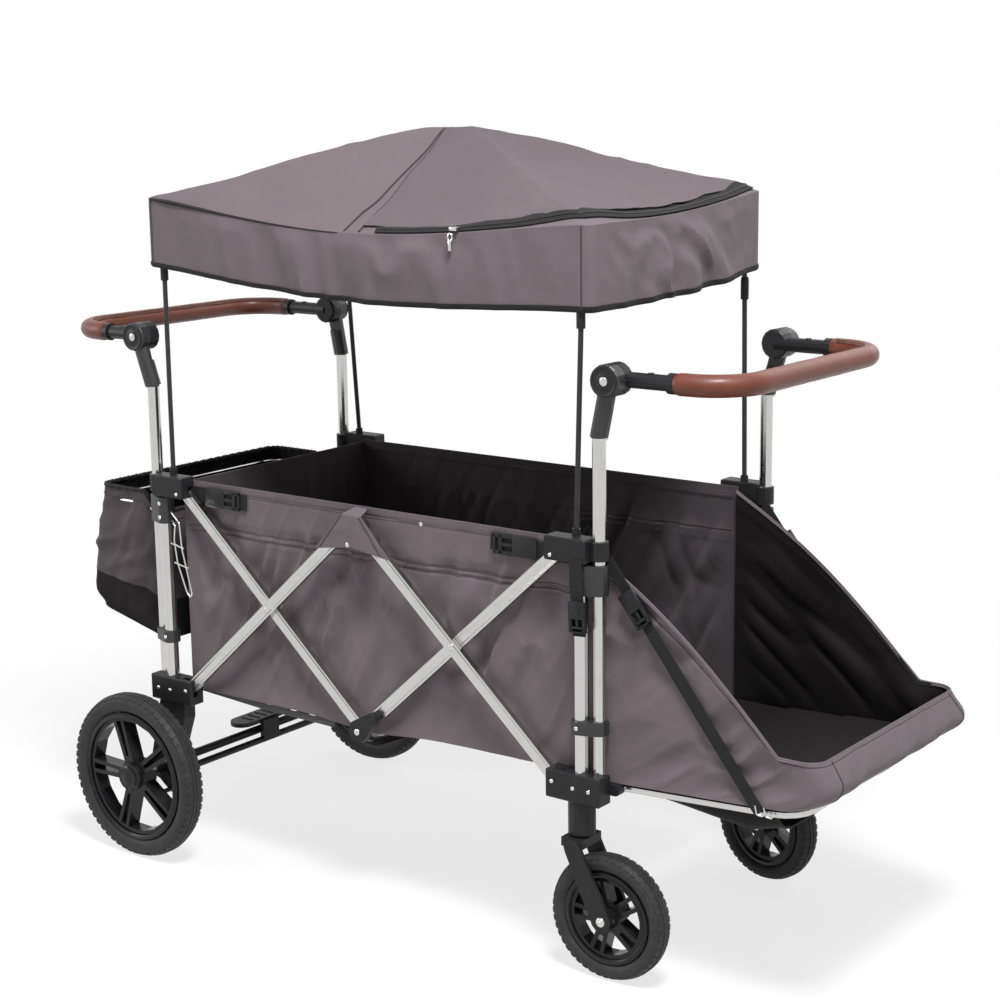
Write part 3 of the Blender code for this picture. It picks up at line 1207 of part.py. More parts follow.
def footwell_front(height):
    """The front wall's distance at a share of its height: tucked in below, then bulging."""
    bulge = FOOTWELL_BULGE * math.sin(math.pi * height ** 0.75)
    return FOOTWELL_FRONT_X + bulge - FOOTWELL_UNDERCUT * (1 - height) ** 4


def make_footwell():
    def shape(share, place):
        u, across, v = share
        x, y, _ = place
        floor = footwell_floor(min(x, FOOTWELL_FRONT_X - FOOTWELL_UNDERCUT))
        z = floor + v * (footwell_rim(x) - floor)
        if u > 0.999:
            x = footwell_front(v)
        if across < 0.001 or across > 0.999:
            y -= math.copysign(FOOTWELL_BELLY * math.sin(math.pi * u) * math.sin(math.pi * v), y)
            x -= FOOTWELL_CORNER if u > 0.999 else 0.0
        return (x, y, z)

    low = (FOOTWELL_REAR_X, -FOOTWELL_OUTER_Y, 0.0)
    high = (FOOTWELL_FRONT_X, FOOTWELL_OUTER_Y, 1.0)
    bag = open_bag(low, high, FOOTWELL_CUTS, shape, FOOTWELL_WALL, [(0, 0, 1), (-1, 0, 0)])
    finished(bag, "footwell", "charcoal_cloth", "front_frame", smooth=60.0)


def make_basket():
    """An open bag that leans back below its rim, and the wire that holds its mouth open."""
    def shape(share, place):
        x, y, _ = place
        back = 1.0 - share[0]
        v = share[2]
        floor = BASKET_FLOOR_Z + BASKET_FLOOR_RISE * back
        front = smoothstep((share[0] - 1 + BASKET_FRONT_SHARE) / BASKET_FRONT_SHARE)
        rim = BASKET_RIM_Z - (BASKET_RIM_Z - BASKET_FRONT_RIM_Z) * front
        lean = (1 - v) ** 0.8 * (1 - BASKET_ROUNDING * (1 - v) ** 4)
        bulge = 1.0 + BASKET_SIDE_BULGE * math.sin(math.pi * v)
        return (x - BASKET_FLARE * back * lean, y * bulge, floor + v * (rim - floor))

    low = (-BASKET_REAR_X, -BASKET_HALF_WIDTH, 0.0)
    high = (-BASKET_FRONT_X, BASKET_HALF_WIDTH, 1.0)
    bag = open_bag(low, high, 4, shape, BASKET_CLOTH, [(0, 0, 1)])
    finished(bag, "storage_basket", "charcoal_cloth", "rear_frame", smooth=60.0)

    bend = (HANGER_REACH - HANGER_BEND, HANGER_Y - HANGER_BEND)
    start = HANDLE_TUBE_X + HANDLE_TUBE_RADIUS + CLAMP_WALL + TOUCH_GAP + HANGER_RADIUS
    half = [(start, HANDLE_TUBE_Y + SINK), (start, HANGER_Y + HANGER_STEP), (start + HANGER_STEP, HANGER_Y)]
    half += arc(bend, HANGER_BEND, 90.0, 0.0, 3)
    route = half + [(x, -y) for x, y in reversed(half)]
    wire = rod([(-x, y, HANGER_Z) for x, y in route], HANGER_RADIUS, PIN_ROUND)
    finished(wire, "basket_hanger", "aluminium", "rear_frame")


def footrest_height(x):
    """Centre height of the footrest tube, just under the footwell's floor."""
    rise = max(x - FOOTREST_PIVOT_X, 0.0) * FOOTWELL_FLOOR_SLOPE
    return FOOTREST_PIVOT_Z + rise


def make_footrest():
    bend = (FOOTREST_REACH - FOOTREST_BEND, FOOTREST_TUBE_Y - FOOTREST_BEND)
    half = [(FOOTREST_PIVOT_X, FOOTREST_TUBE_Y)] + arc(bend, FOOTREST_BEND, 90.0, 0.0, 4)
    route = half + [(x, -y) for x, y in reversed(half)]
    tube = rod([(x, y, footrest_height(x)) for x, y in route], FOOTREST_TUBE_RADIUS)
    x, z = FOOTREST_PIVOT_X, FOOTREST_PIVOT_Z
    eyes = []
    holes = []
    for side in SIDES.values():
        inner, outer = side * FOOTREST_EYE_INNER_Y, side * FOOTREST_EYE_OUTER_Y
        eyes.append(plate(circle((x, z), FOOTREST_EYE_RADIUS), [], "Y", inner, outer))
        holes.append(cylinder((x, outer + side * SINK, z), (x, inner + side * (SINK / 2 - TOUCH_GAP), z),
                              PIN_RADIUS + TOUCH_GAP))
    axis = (x, 0.0, z)
    finished(combined(tube, join=eyes, cut=holes), "footrest_tube", "aluminium", "footrest_pivot", axis)

    bm = bmesh.new()
    bmesh.ops.create_grid(bm, x_segments=6, y_segments=8, size=1 / 2)
    for vert in bm.verts:
        u = vert.co.x + 1 / 2
        v = vert.co.y * 2
        x = POUCH_REAR_X + u * (POUCH_FRONT_X - POUCH_REAR_X)
        sag = POUCH_DEPTH * (1 - v ** 4) * (0.55 + 0.45 * math.sin(math.pi * (0.12 + 0.72 * u)))
        closing = 1 - smoothstep((u - 1 + POUCH_FRONT_SHARE) / POUCH_FRONT_SHARE)
        vert.co = (x, v * POUCH_HALF_WIDTH, footrest_height(x) - sag * closing)
    pouch = thickened(bm, POUCH_CLOTH, 0.0)
    finished(pouch, "under_pouch", "lining_cloth", "footrest_pivot", axis, smooth=60.0)


def make_straps():
    """A webbing strap with a buckle from each front post down to the footrest."""
    first = (STRAP_TOP_X, STRAP_TOP_Z)
    second = (STRAP_FOOT_X, footrest_height(STRAP_FOOT_X) + STRAP_TAB_ABOVE)
    direction = (Vector(second) - Vector(first)).normalized()
    across = Vector((-direction.y, direction.x))

    def rectangle(start, end, width):
        half = across * width / 2
        return [tuple(Vector(start) + half), tuple(Vector(end) + half),
                tuple(Vector(end) - half), tuple(Vector(start) - half)]

    length = (Vector(second) - Vector(first)).length
    buckle_start = along(first, second, length * BUCKLE_SHARE)
    buckle_end = along(buckle_start, second, BUCKLE_LENGTH)
    for side_name, side in SIDES.items():
        web = plate(rectangle(first, second, STRAP_WIDTH), [], "Y",
                    side * STRAP_Y, side * (STRAP_Y + STRAP_THICKNESS))
        buckle = plate(rectangle(buckle_start, buckle_end, BUCKLE_WIDTH), [], "Y",
                       side * (STRAP_Y - TOUCH_GAP / 3), side * (STRAP_Y + BUCKLE_DEPTH))
        tab_y = FOOTREST_TUBE_Y + FOOTREST_TUBE_RADIUS + TOUCH_GAP
        tab = box((STRAP_FOOT_X - STRAP_WIDTH / 2, side * tab_y, second[1] - STRAP_TAB_BELOW),
                  (STRAP_FOOT_X + STRAP_WIDTH / 2, side * (STRAP_Y + STRAP_THICKNESS / 2),
                   second[1] + STRAP_TAB_ABOVE))
        strap = combined(web, join=[buckle, tab])
        finished(strap, "footwell_strap_" + side_name, "webbing", "front_frame")


def make_pivots():
    """The joints' axes, each hung on the piece that carries it."""
    crossing_z = (LOW_PIVOT_Z + HIGH_PIVOT_Z) / 2
    pivot("wagon", (0.0, 0.0, 0.0))
    pivot("rear_frame", (0.0, 0.0, 0.0), "wagon")
    pivot("fold_pivot", (-PIVOT_REACH, 0.0, LOW_PIVOT_Z), "rear_frame")
    pivot("rear_cross_pivot", (-PIVOT_REACH / 2, 0.0, crossing_z), "fold_pivot")
    pivot("rear_slider", (-PIVOT_REACH, 0.0, HIGH_PIVOT_Z), "rear_cross_pivot")
    pivot("low_mid_pivot", (0.0, 0.0, LOW_PIVOT_Z), "rear_cross_pivot")
    pivot("front_slider", (PIVOT_REACH, 0.0, HIGH_PIVOT_Z), "low_mid_pivot")
    pivot("high_mid_pivot", (0.0, 0.0, HIGH_PIVOT_Z), "fold_pivot")
    pivot("front_frame", (PIVOT_REACH, 0.0, LOW_PIVOT_Z), "high_mid_pivot")
    pivot("rear_handle_pivot", (-HUB_X, 0.0, HUB_Z), "rear_frame")
    pivot("front_handle_pivot", (HUB_X, 0.0, HUB_Z), "front_frame")
    pivot("brake_pivot", (-BRAKE_ROD_X, 0.0, BRAKE_ROD_Z), "rear_frame")
    pivot("footrest_pivot", (FOOTREST_PIVOT_X, 0.0, FOOTREST_PIVOT_Z), "front_frame")
    for side_name, side in SIDES.items():
        swivel = "caster_pivot_" + side_name
        hub = (-REAR_WHEEL_X, side * REAR_WHEEL_Y, REAR_WHEEL_RADIUS)
        pivot("rear_wheel_pivot_" + side_name, hub, "rear_frame")
        stem = (CASTER_X, side * CASTER_Y, FORK_CROWN_TOP_Z)
        pivot(swivel, stem, "front_frame", CASTER_TURN[side_name])
        hub = (CASTER_X + CASTER_TRAIL, side * CASTER_Y, FRONT_WHEEL_RADIUS)
        pivot("front_wheel_pivot_" + side_name, hub, swivel)


def main():
    make_pivots()
    make_bars()
    make_corner_tubes()
    make_low_brackets()
    make_top_brackets()
    make_poles()
    make_canopy()
    make_canopy_frame()
    make_handles()
    make_axle()
    make_brake()
    make_rear_wheels()
    make_casters()
    make_side_panels()
    make_rear_panel()
    make_floor()
    make_footwell()
    make_basket()
    make_footrest()
    make_straps()
    reach = max(footwell_front(ring / (FOOTWELL_CUTS + 1)) for ring in range(FOOTWELL_CUTS + 2))
    bpy.data.objects["wagon"].location.x = (GRIP_REACH + GRIP_RADIUS - reach) / 2


main()
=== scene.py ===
"""Looks of a folding stroller wagon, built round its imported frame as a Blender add-on.

Sizes are in metres in wagon coordinates: x forward from the middle hinges, y to the wagon's
left, z up from the ground. Each finished piece is then shifted to where the frame stands.
"""
import math

import bpy
import numpy as np
from mathutils import Matrix, Vector


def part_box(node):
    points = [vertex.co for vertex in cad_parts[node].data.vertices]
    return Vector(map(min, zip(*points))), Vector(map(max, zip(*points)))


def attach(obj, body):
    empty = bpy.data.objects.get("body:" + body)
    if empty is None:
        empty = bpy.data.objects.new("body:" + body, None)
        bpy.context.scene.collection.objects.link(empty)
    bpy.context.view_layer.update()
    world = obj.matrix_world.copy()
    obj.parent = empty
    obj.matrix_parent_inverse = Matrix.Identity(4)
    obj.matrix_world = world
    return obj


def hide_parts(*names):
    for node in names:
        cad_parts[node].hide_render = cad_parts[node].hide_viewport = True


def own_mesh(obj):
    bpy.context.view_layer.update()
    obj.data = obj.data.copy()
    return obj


bl_info = {
    "name": "Stroller wagon looks",
    "version": (1, 1, 0),
    "blender": (4, 5, 0),
    "location": "View3D > Sidebar > Wagon",
    "description": "Cloth, grips, wheels, fittings and finishes of a folding stroller wagon",
    "category": "Object",
}

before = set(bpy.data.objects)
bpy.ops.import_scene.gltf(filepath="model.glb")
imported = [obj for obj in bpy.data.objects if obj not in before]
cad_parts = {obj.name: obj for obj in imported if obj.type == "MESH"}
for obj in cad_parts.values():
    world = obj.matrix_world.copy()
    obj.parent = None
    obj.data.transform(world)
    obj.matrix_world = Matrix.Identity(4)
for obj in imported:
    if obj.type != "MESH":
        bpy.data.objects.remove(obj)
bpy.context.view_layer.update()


def middle_of(node, axis):
    low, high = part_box(node)
    return (low[axis] + high[axis]) / 2


# The frame's middle stands halfway between its front and rear posts
WAGON_SHIFT = (middle_of("front_post_left", 0) + middle_of("rear_post_left", 0)) / 2
SIDES = {"left": 1, "right": -1}
ENDS = {"front": 1, "rear": -1}
# Share of its length that each cloth would keep when the wagon is folded
CANOPY_KEEP = 0.52
TUB_KEEP = 0.47

# Camera
CAMERA_PLACE = (2.0015, -2.4962, 1.2975)
CAMERA_AZIMUTH = 37.351
CAMERA_ELEVATION = 11.8045
CAMERA_ROLL = -0.731
CAMERA_LENS = 70.625

# Canopy
CANOPY_FRONT_X = 0.444
CANOPY_REAR_X = -0.462
CANOPY_HALF_WIDTH = 0.2375
CANOPY_PEAK_Z = 1.2405
CANOPY_RIDGE = (-0.030, 0.034)
CANOPY_CORNER_Z = {"rear": 1.130, "front": 1.112}
CANOPY_CORNER_RADIUS = 0.018
CANOPY_SIDE_SAG = 0.034
CANOPY_END_SAG = 0.008
CANOPY_PANEL_SAG = 0.010
CANOPY_SKIRT = {"rear": 0.112, "front": 0.122}
CANOPY_HEM_RISE = 0.012
CANOPY_SKEW = 0.026
CANOPY_ROOF_SHARE = 0.62
CANOPY_PEAK_BLUNTNESS = 0.045
CANOPY_INSIDE = (0.0, 0.0, 1.0)
CANOPY_ROUND = 2.73
ROOF_SEAMS_X = (-0.018, 0.012)
CORNER_SEAMS_X = (-0.4445, 0.4255)
# Ends of the black piping that paints the shadow line under the roof's overhang
SHADOW_PIPING_ENDS_X = (-0.440, -0.030)
ZIP_START_X = 0.012
ZIP_PULLER_X = 0.205
ZIP_PULLER_SHARE = 0.985

# Frame
POST_X = 0.430
BAR_REACH = 0.386
BAR_LOW_Z = 0.296
BAR_HIGH_Z = 0.640
CROSSING_Z = (BAR_LOW_Z + BAR_HIGH_Z) / 2
BAR_OUTER_Y = 0.2556
BRACKET_OUTER_Y = 0.2630
CLAMP_HEIGHTS = [(0.375, 0.3955), (0.5840, 0.6300)]
HANDLE_SLEEVE_HEIGHTS = [(0.8150, 2.0)]
POLE_FOOT = (0.416, 0.2385, 0.668)
POLE_TOP = {"front": (0.419, 0.2235, 1.090), "rear": (-0.431, 0.2235, 1.102)}

# Tub
TUB_REAR_X = -0.400
TUB_FRONT_X = 0.409
TUB_BOTTOM_Z = 0.300
TUB_TOP_Z = 0.660
PANEL_OUTER_Y = 0.2310
PANEL_SEAM_Z = 0.582
LINING_THICKNESS = 0.0008
# Share of the wall's height and depth behind its outer face
STITCH_ROWS = ((0.765, -0.0004), (0.790, -0.0004), (0.957, -0.0004), (0.957, 0.0046), (0.80, 0.0046))
FLAP_FOOT_HALF_WIDTH = 0.078
FLAP_TOP_HALF_WIDTH = 0.012
FLAP_FOOT_Z = 0.588
FLAP_HEIGHT = 0.071
FLAP_POINT = 0.012
FLAP_Y = 0.2598
FLAP_SNAP = (-0.006, 0.2612, 0.603)
WALL_SNAP = (0.119, 0.2302, 0.646)
MAT_SECTIONS = 4
CORNER_STRAP_Y = 0.2326
CORNER_STRAP_Z = 0.636
# Where each corner strap's buckle, rear end and front end stand
CORNER_STRAPS = {"front_frame": (0.302, 0.255, 0.425), "rear_frame": (-0.306, -0.400, -0.252)}
POST_STRAP = ((0.432, 0.2648, 0.640), (0.433, 0.2652, 0.600), (0.438, 0.2660, 0.560),
              (0.440, 0.2668, 0.527))
POST_BUCKLE = (0.439, 0.2666, 0.556)
FLOOR_BAND = ((-0.383, 0.2290, 0.296), (-0.230, 0.2270, 0.287), (-0.075, 0.2290, 0.287))

# Footwell
FOOTWELL_REAR_X = 0.412
FOOTWELL_LIP_X = 0.805
FOOTWELL_BULGE = 0.027
FOOTWELL_UNDERCUT = 0.030
FOOTWELL_HALF_WIDTH = 0.2235
FOOTWELL_CORNER = 0.030
FOOTWELL_LIP_Z = 0.392
FOOTWELL_BREAK_X = 0.742
FOOTWELL_RIM_REAR_Z = 0.655
FOOTWELL_FLOOR_BREAK_X = 0.4845
FOOTWELL_FLOOR_SLOPE = 0.060
FOOTWELL_RIM_BOW = 0.024
STRAP_TOP = (0.4785, 0.616)
STRAP_FOOT = (0.716, 0.3067)
STRAP_WIDTH = 0.018
STRAP_Y = FOOTWELL_HALF_WIDTH + 0.0022
STRAP_POINTS = 26
FOOTWELL_MIDDLE = (0.6, 0.0, 0.4)
FOOTWELL_ROUND = 1.25
POUCH = (0.500, 0.730)
POUCH_HALF_WIDTH = 0.203

# Basket
BASKET_FRONT_X = -0.4735
BASKET_REAR_X = -0.6255
BASKET_HALF_WIDTH = 0.222
BASKET_RIM_Z = 0.625
BASKET_FRONT_RIM_Z = 0.590
BASKET_FLOOR_Z = 0.362
BASKET_FLOOR_RISE = 0.042
BASKET_FLARE = 0.054
BASKET_ROUNDING = 0.35
BASKET_SPLIT = 0.30
BASKET_MIDDLE_X = -0.555
BASKET_MIDDLE = (BASKET_MIDDLE_X, 0.0, 0.5)
BASKET_ROUND = 1.15

# Handles
HUB = (0.478, 0.899)
HUB_OUTER_Y = 0.2590
GRIP_START_X = 0.578
GRIP_REACH = 0.668
GRIP_BEND = 0.075
GRIP_RADIUS = 0.0160
GRIP_BEND_STEPS = 14
GRIP_POINTS = 240
LACE_POINTS = 220
ARM_Y = 0.2262
ARM_SCREW_X = 0.535

# Wheels
CASTER_TURN = {"left": -11.0, "right": 2.0}
FORK_OUTER = 0.0295
TREAD_DEPTH = 0.0016
TYRE_DEPTH = {"front": 0.025, "rear": 0.031}
TYRE_WIDTH = {"front": 0.036, "rear": 0.040}
TREAD_BLOCKS = {"front": 46, "rear": 60}
CAP_STAND = 0.004

# Small fittings
BRACKET_RIVETS_X = (0.424, 0.452)
BRACKET_RIVETS_Z = 0.292
KNUCKLE_RIVET_Y = 0.2590
CLAMP_SCREW_Y = 0.2620
CLAMP_SCREWS_Z = (0.595, 0.619, 0.385)
WIRE_Y = 0.2570
WIRE_CLAMP_Y = 0.2500
WIRE_HANDLE = (
    (-0.414, WIRE_CLAMP_Y, 0.590), (-0.398, WIRE_Y, 0.584), (-0.402, WIRE_Y, 0.560), (-0.396, WIRE_Y, 0.520),
    (-0.376, WIRE_Y, 0.470), (-0.368, WIRE_Y, 0.462), (-0.364, WIRE_Y, 0.470), (-0.372, WIRE_Y, 0.500),
    (-0.384, WIRE_Y, 0.545), (-0.388, WIRE_Y, 0.590), (-0.414, WIRE_CLAMP_Y, 0.604))
# Height, rear end and front end of each wire across the handle
CROSS_WIRES = ((0.553, -0.408, -0.378), (0.520, -0.402, -0.368))

MERGE_DISTANCE = 1e-5
PAD_PRESSURE = 4.0
STREAKS_UPRIGHT = (260.0, 260.0, 7.0)
STREAKS_ALONG_BAR = (7.0, 260.0, 260.0)
WHITE = (1.0, 1.0, 1.0, 1.0)


class WagonSizes(bpy.types.PropertyGroup):
    """Sizes that a maker of this wagon would change."""

    cloth_thickness: bpy.props.FloatProperty(
        name="Cloth thickness", description="Thickness of the outer cloth", default=0.0016,
        min=0.0005, max=0.004, subtype="DISTANCE", unit="LENGTH")
    thread_pitch: bpy.props.FloatProperty(
        name="Thread pitch", description="Distance between threads of the weave", default=0.0011,
        min=0.0003, max=0.004, subtype="DISTANCE", unit="LENGTH")
    wrinkle_depth: bpy.props.FloatProperty(
        name="Wrinkle depth", description="Height of the cloth's creases", default=0.0090,
        min=0.0, max=0.01, subtype="DISTANCE", unit="LENGTH")
    binding_width: bpy.props.FloatProperty(
        name="Binding width", description="Width of the tape bound round each hem", default=0.0070,
        min=0.003, max=0.02, subtype="DISTANCE", unit="LENGTH")


class WagonColours(bpy.types.PropertyGroup):
    """Colours of the wagon's finishes."""

    outer_cloth: bpy.props.FloatVectorProperty(
        name="Outer cloth", description="Cloth seen from outside", subtype="COLOR", size=3,
        default=(0.143, 0.116, 0.127), min=0.0, max=1.0)
    lining: bpy.props.FloatVectorProperty(
        name="Lining", description="Cloth inside the tub", subtype="COLOR", size=3,
        default=(0.060, 0.050, 0.055), min=0.0, max=1.0)
    leather: bpy.props.FloatVectorProperty(
        name="Leather", description="Sleeves on the handles", subtype="COLOR", size=3,
        default=(0.125, 0.029, 0.015), min=0.0, max=1.0)
    metal: bpy.props.FloatVectorProperty(
        name="Metal", description="Tubes and bars", subtype="COLOR", size=3,
        default=(0.56, 0.555, 0.55), min=0.0, max=1.0)
    plastic: bpy.props.FloatVectorProperty(
        name="Plastic", description="Brackets, clamps and rims", subtype="COLOR", size=3,
        default=(0.012, 0.012, 0.013), min=0.0, max=1.0)
    rubber: bpy.props.FloatVectorProperty(
        name="Rubber", description="Tyres", subtype="COLOR", size=3,
        default=(0.026, 0.025, 0.026), min=0.0, max=1.0)


def sizes():
    return bpy.context.scene.wagon_sizes


def colours():
    return bpy.context.scene.wagon_colours


# Shader maths

class Wire:
    """A shader socket that can stand in a sum, which adds Math nodes."""

    def __init__(self, recipe, socket):
        self.recipe = recipe
        self.socket = socket

    def maths(self, operation, first, second=None, **settings):
        values = {0: first}
        if second is not None:
            values[1] = second
        return self.recipe.node("ShaderNodeMath", {"operation": operation, **settings}, values)

    def __add__(self, other):
        return self.maths("ADD", self, other)

    def __radd__(self, other):
        return self.maths("ADD", other, self)

    def __sub__(self, other):
        return self.maths("SUBTRACT", self, other)

    def __rsub__(self, other):
        return self.maths("SUBTRACT", other, self)

    def __mul__(self, other):
        return self.maths("MULTIPLY", self, other)

    def __rmul__(self, other):
        return self.maths("MULTIPLY", other, self)

    def sine(self):
        return self.maths("SINE", self)

    def size(self):
        return self.maths("ABSOLUTE", self)

    def above(self, level):
        return self.maths("GREATER_THAN", self, level)

    def larger(self, other):
        return self.maths("MAXIMUM", self, other)

    def clamped(self):
        return self.maths("ADD", self, 0.0, use_clamp=True)

    def between(self, low, high):
        """Rises smoothly from 0 at low to 1 at high."""
        return self.recipe.node("ShaderNodeMapRange", {"interpolation_type": "SMOOTHSTEP"},
                                {0: self, 1: low, 2: high})


class Recipe:
    """One material, or the world, and the nodes that feed its shader."""

    def __init__(self, name, world=None):
        self.material = world or bpy.data.materials.new(name)
        self.material.use_nodes = True
        self.tree = self.material.node_tree
        self.shader = self.tree.nodes.get("Principled BSDF")

    def feed(self, socket, value):
        if isinstance(value, Wire):
            self.tree.links.new(value.socket, socket)
        else:
            socket.default_value = value

    def node(self, kind, settings=None, values=None, output=0):
        node = self.tree.nodes.new(kind)
        for name, value in (settings or {}).items():
            if name == "stops":
                self.set_ramp(node.color_ramp, value)
            else:
                setattr(node, name, value)
        for name, value in (values or {}).items():
            self.feed(node.inputs[name], value)
        return Wire(self, node.outputs[output])

    def set_ramp(self, ramp, stops):
        while len(ramp.elements) < len(stops):
            ramp.elements.new(0.5)
        for element, (place, value) in zip(ramp.elements, stops):
            element.position = place
            element.color = (value, value, value, 1.0)

    def surface(self, **values):
        for name, value in values.items():
            self.feed(self.shader.inputs[name.replace("_", " ")], value)

    def place(self, kind, scale=(1.0, 1.0, 1.0), turn=(0.0, 0.0, 0.0)):
        source = self.node("ShaderNodeTexCoord", output=kind)
        return self.node("ShaderNodeMapping", None, {
            "Vector": source, "Rotation": turn, "Scale": scale})

    def parts(self, vector):
        """The three numbers of a vector."""
        first = self.node("ShaderNodeSeparateXYZ", None, {0: vector})
        return [Wire(self, first.socket.node.outputs[axis]) for axis in "XYZ"]

    def noise(self, place, scale, detail, roughness):
        return self.node("ShaderNodeTexNoise", None, {
            "Vector": place, "Scale": scale, "Detail": detail, "Roughness": roughness})

    def ramp(self, value, *stops):
        return self.node("ShaderNodeValToRGB", {"stops": stops}, {0: value})

    def blend(self, factor, first, second):
        colours_in = [part if isinstance(part, Wire) else (*part, 1.0) for part in (first, second)]
        return self.node("ShaderNodeMix", {"data_type": "RGBA"},
                         {0: factor, 6: colours_in[0], 7: colours_in[1]}, output=2)

    def bump(self, height, strength, distance, below=None):
        values = {"Height": height, "Strength": strength, "Distance": distance}
        if below is not None:
            values["Normal"] = below
        return self.node("ShaderNodeBump", None, values)


def shade(colour, share):
    return tuple(min(1.0, part * share) for part in colour)


def woven(name, colour, roughness=0.82, sheen=0.10, cloth_map="UV"):
    """A plain weave on the piece's own cloth map, in metres, or on its Object coordinates."""
    recipe = Recipe(name)
    cloth = recipe.place(cloth_map)
    along, across, _ = recipe.parts(cloth)
    pitch = 2 * math.pi / sizes().thread_pitch
    weave = (along * pitch).sine() * (across * pitch).sine()
    fibres = recipe.noise(cloth, 900.0, 2.0, 0.7)
    patches = recipe.noise(recipe.place("Object"), 5.0, 4.0, 0.6)
    slubs = recipe.noise(recipe.place(cloth_map, (14.0, 420.0, 1.0)), 1.0, 2.0, 0.5)
    tone = (patches - 0.5) * 0.6 + (fibres - 0.5) * 0.5 + (slubs - 0.5) * 0.35 + 0.5
    recipe.surface(
        Base_Color=recipe.blend(tone.clamped(), shade(colour, 0.80), shade(colour, 1.20)),
        Roughness=(fibres * 0.14 + (roughness - 0.07)).clamped(),
        Sheen_Weight=sheen,
        Sheen_Roughness=0.45,
        Specular_IOR_Level=0.12,
    )
    fine = recipe.bump(weave * 0.5 + fibres, 0.5, 0.00035)
    soft = recipe.noise(recipe.place("Object", (1.0, 1.0, 0.6)), 34.0, 3.0, 0.55)
    recipe.surface(Normal=recipe.bump(soft, 0.55, 0.0040, fine))
    return recipe.material


def ribbed_webbing(name, colour):
    """Flat woven tape with ribs across it."""
    recipe = Recipe(name)
    cloth = recipe.place("UV")
    along, across, _ = recipe.parts(cloth)
    ribs = (along * 3400.0).sine() * 0.5 + (across * 5200.0).sine().size() * 0.5
    fibres = recipe.noise(cloth, 1400.0, 2.0, 0.7)
    tone = (ribs * 0.35 + fibres * 0.6).clamped()
    recipe.surface(
        Base_Color=recipe.blend(tone, shade(colour, 0.7), shade(colour, 1.7)),
        Roughness=(fibres * 0.2 + 0.62).clamped(),
        Sheen_Weight=0.05,
        Specular_IOR_Level=0.15,
        Normal=recipe.bump(ribs + fibres * 0.4, 0.7, 0.0005),
    )
    return recipe.material


def drawn_metal(recipe, colour, roughness, place):
    """Colour, roughness and height of aluminium with streaks along it and faint handling marks; the darker
    streaks in the colour are partly the drawn grain and partly painted reflection bands.
    """
    grain = recipe.noise(place, 1.0, 5.0, 0.7)
    marks = recipe.noise(recipe.place("Object"), 24.0, 5.0, 0.65)
    worn = recipe.ramp(marks, (0.50, 0.0), (0.68, 1.0))
    # Streaks and handling marks darken the colour: the streaks are partly drawn grain and partly painted
    # reflections
    grain_wear_and_painted_reflection = (grain * 0.6 + worn * 0.3).clamped()
    tone = recipe.blend(grain_wear_and_painted_reflection, shade(colour, 1.08), shade(colour, 0.88))
    gloss = (grain * 0.10 + worn * 0.06 + (roughness - 0.08)).clamped()
    return tone, gloss, grain


def satin_metal(name, colour, roughness):
    """Drawn tube or wire."""
    recipe = Recipe(name)
    drawn = recipe.place("Object", STREAKS_UPRIGHT)
    tone, gloss, grain = drawn_metal(recipe, colour, roughness, drawn)
    recipe.surface(Base_Color=tone, Metallic=1.0, Roughness=gloss,
                   Normal=recipe.bump(grain, 0.05, 0.0002))
    return recipe.material


def channelled_bar(name, colour, middle_x, slope):
    """A rolled flat bar: a shallow channel runs along its middle, between two raised edges."""
    recipe = Recipe(name)
    place = recipe.place("Object")
    x, _, z = recipe.parts(place)
    off = (x - (middle_x + WAGON_SHIFT)) * math.sin(slope) - (z - CROSSING_Z) * math.cos(slope)
    edge = off.size().between(0.0048, 0.0070)
    drawn = recipe.place("Object", STREAKS_ALONG_BAR, (0.0, slope, 0.0))
    tone, gloss, grain = drawn_metal(recipe, colour, 0.20, drawn)
    recipe.surface(Base_Color=tone, Metallic=1.0, Roughness=gloss,
                   Normal=recipe.bump(edge * 2.0 + grain * 0.2, 0.8, 0.0009))
    return recipe.material


def tube_with_fittings(name, metal, plastic, spans):
    """A drawn tube whose moulded fittings are the parts between the heights in spans."""
    recipe = Recipe(name)
    height = recipe.parts(recipe.place("Object"))[2]
    fitting = 0.0
    for low, high in spans:
        fitting = height.above(low) * (1.0 - height.above(high)) + fitting
    drawn = recipe.place("Object", STREAKS_UPRIGHT)
    tone, gloss, grain = drawn_metal(recipe, metal, 0.17, drawn)
    pores = recipe.noise(recipe.place("Object"), 1500.0, 2.0, 0.6)
    moulded = recipe.blend(pores, plastic, shade(plastic, 2.0))
    recipe.surface(
        Base_Color=recipe.blend(fitting, tone, moulded),
        Metallic=1.0 - fitting,
        Roughness=gloss * (1.0 - fitting) + fitting * (pores * 0.1 + 0.36),
        Normal=recipe.bump(grain * (1.0 - fitting) * 0.3 + pores * fitting, 0.15, 0.0003),
    )
    return recipe.material


def moulded_plastic(name, colour, roughness=0.42, grain=0.35):
    """Moulded nylon with a fine spark grain, scuffed a little paler in patches."""
    recipe = Recipe(name)
    place = recipe.place("Object")
    pores = recipe.noise(place, 1500.0, 2.0, 0.6)
    worn = recipe.ramp(recipe.noise(place, 38.0, 6.0, 0.68), (0.52, 0.0), (0.72, 1.0))
    recipe.surface(
        Base_Color=recipe.blend((worn * 0.6 + pores * 0.15).clamped(), colour, shade(colour, 2.1)),
        Roughness=(pores * 0.10 + worn * 0.12 + (roughness - 0.06)).clamped(),
        Specular_IOR_Level=0.22,
        Normal=recipe.bump(pores, grain, 0.00025),
    )
    return recipe.material


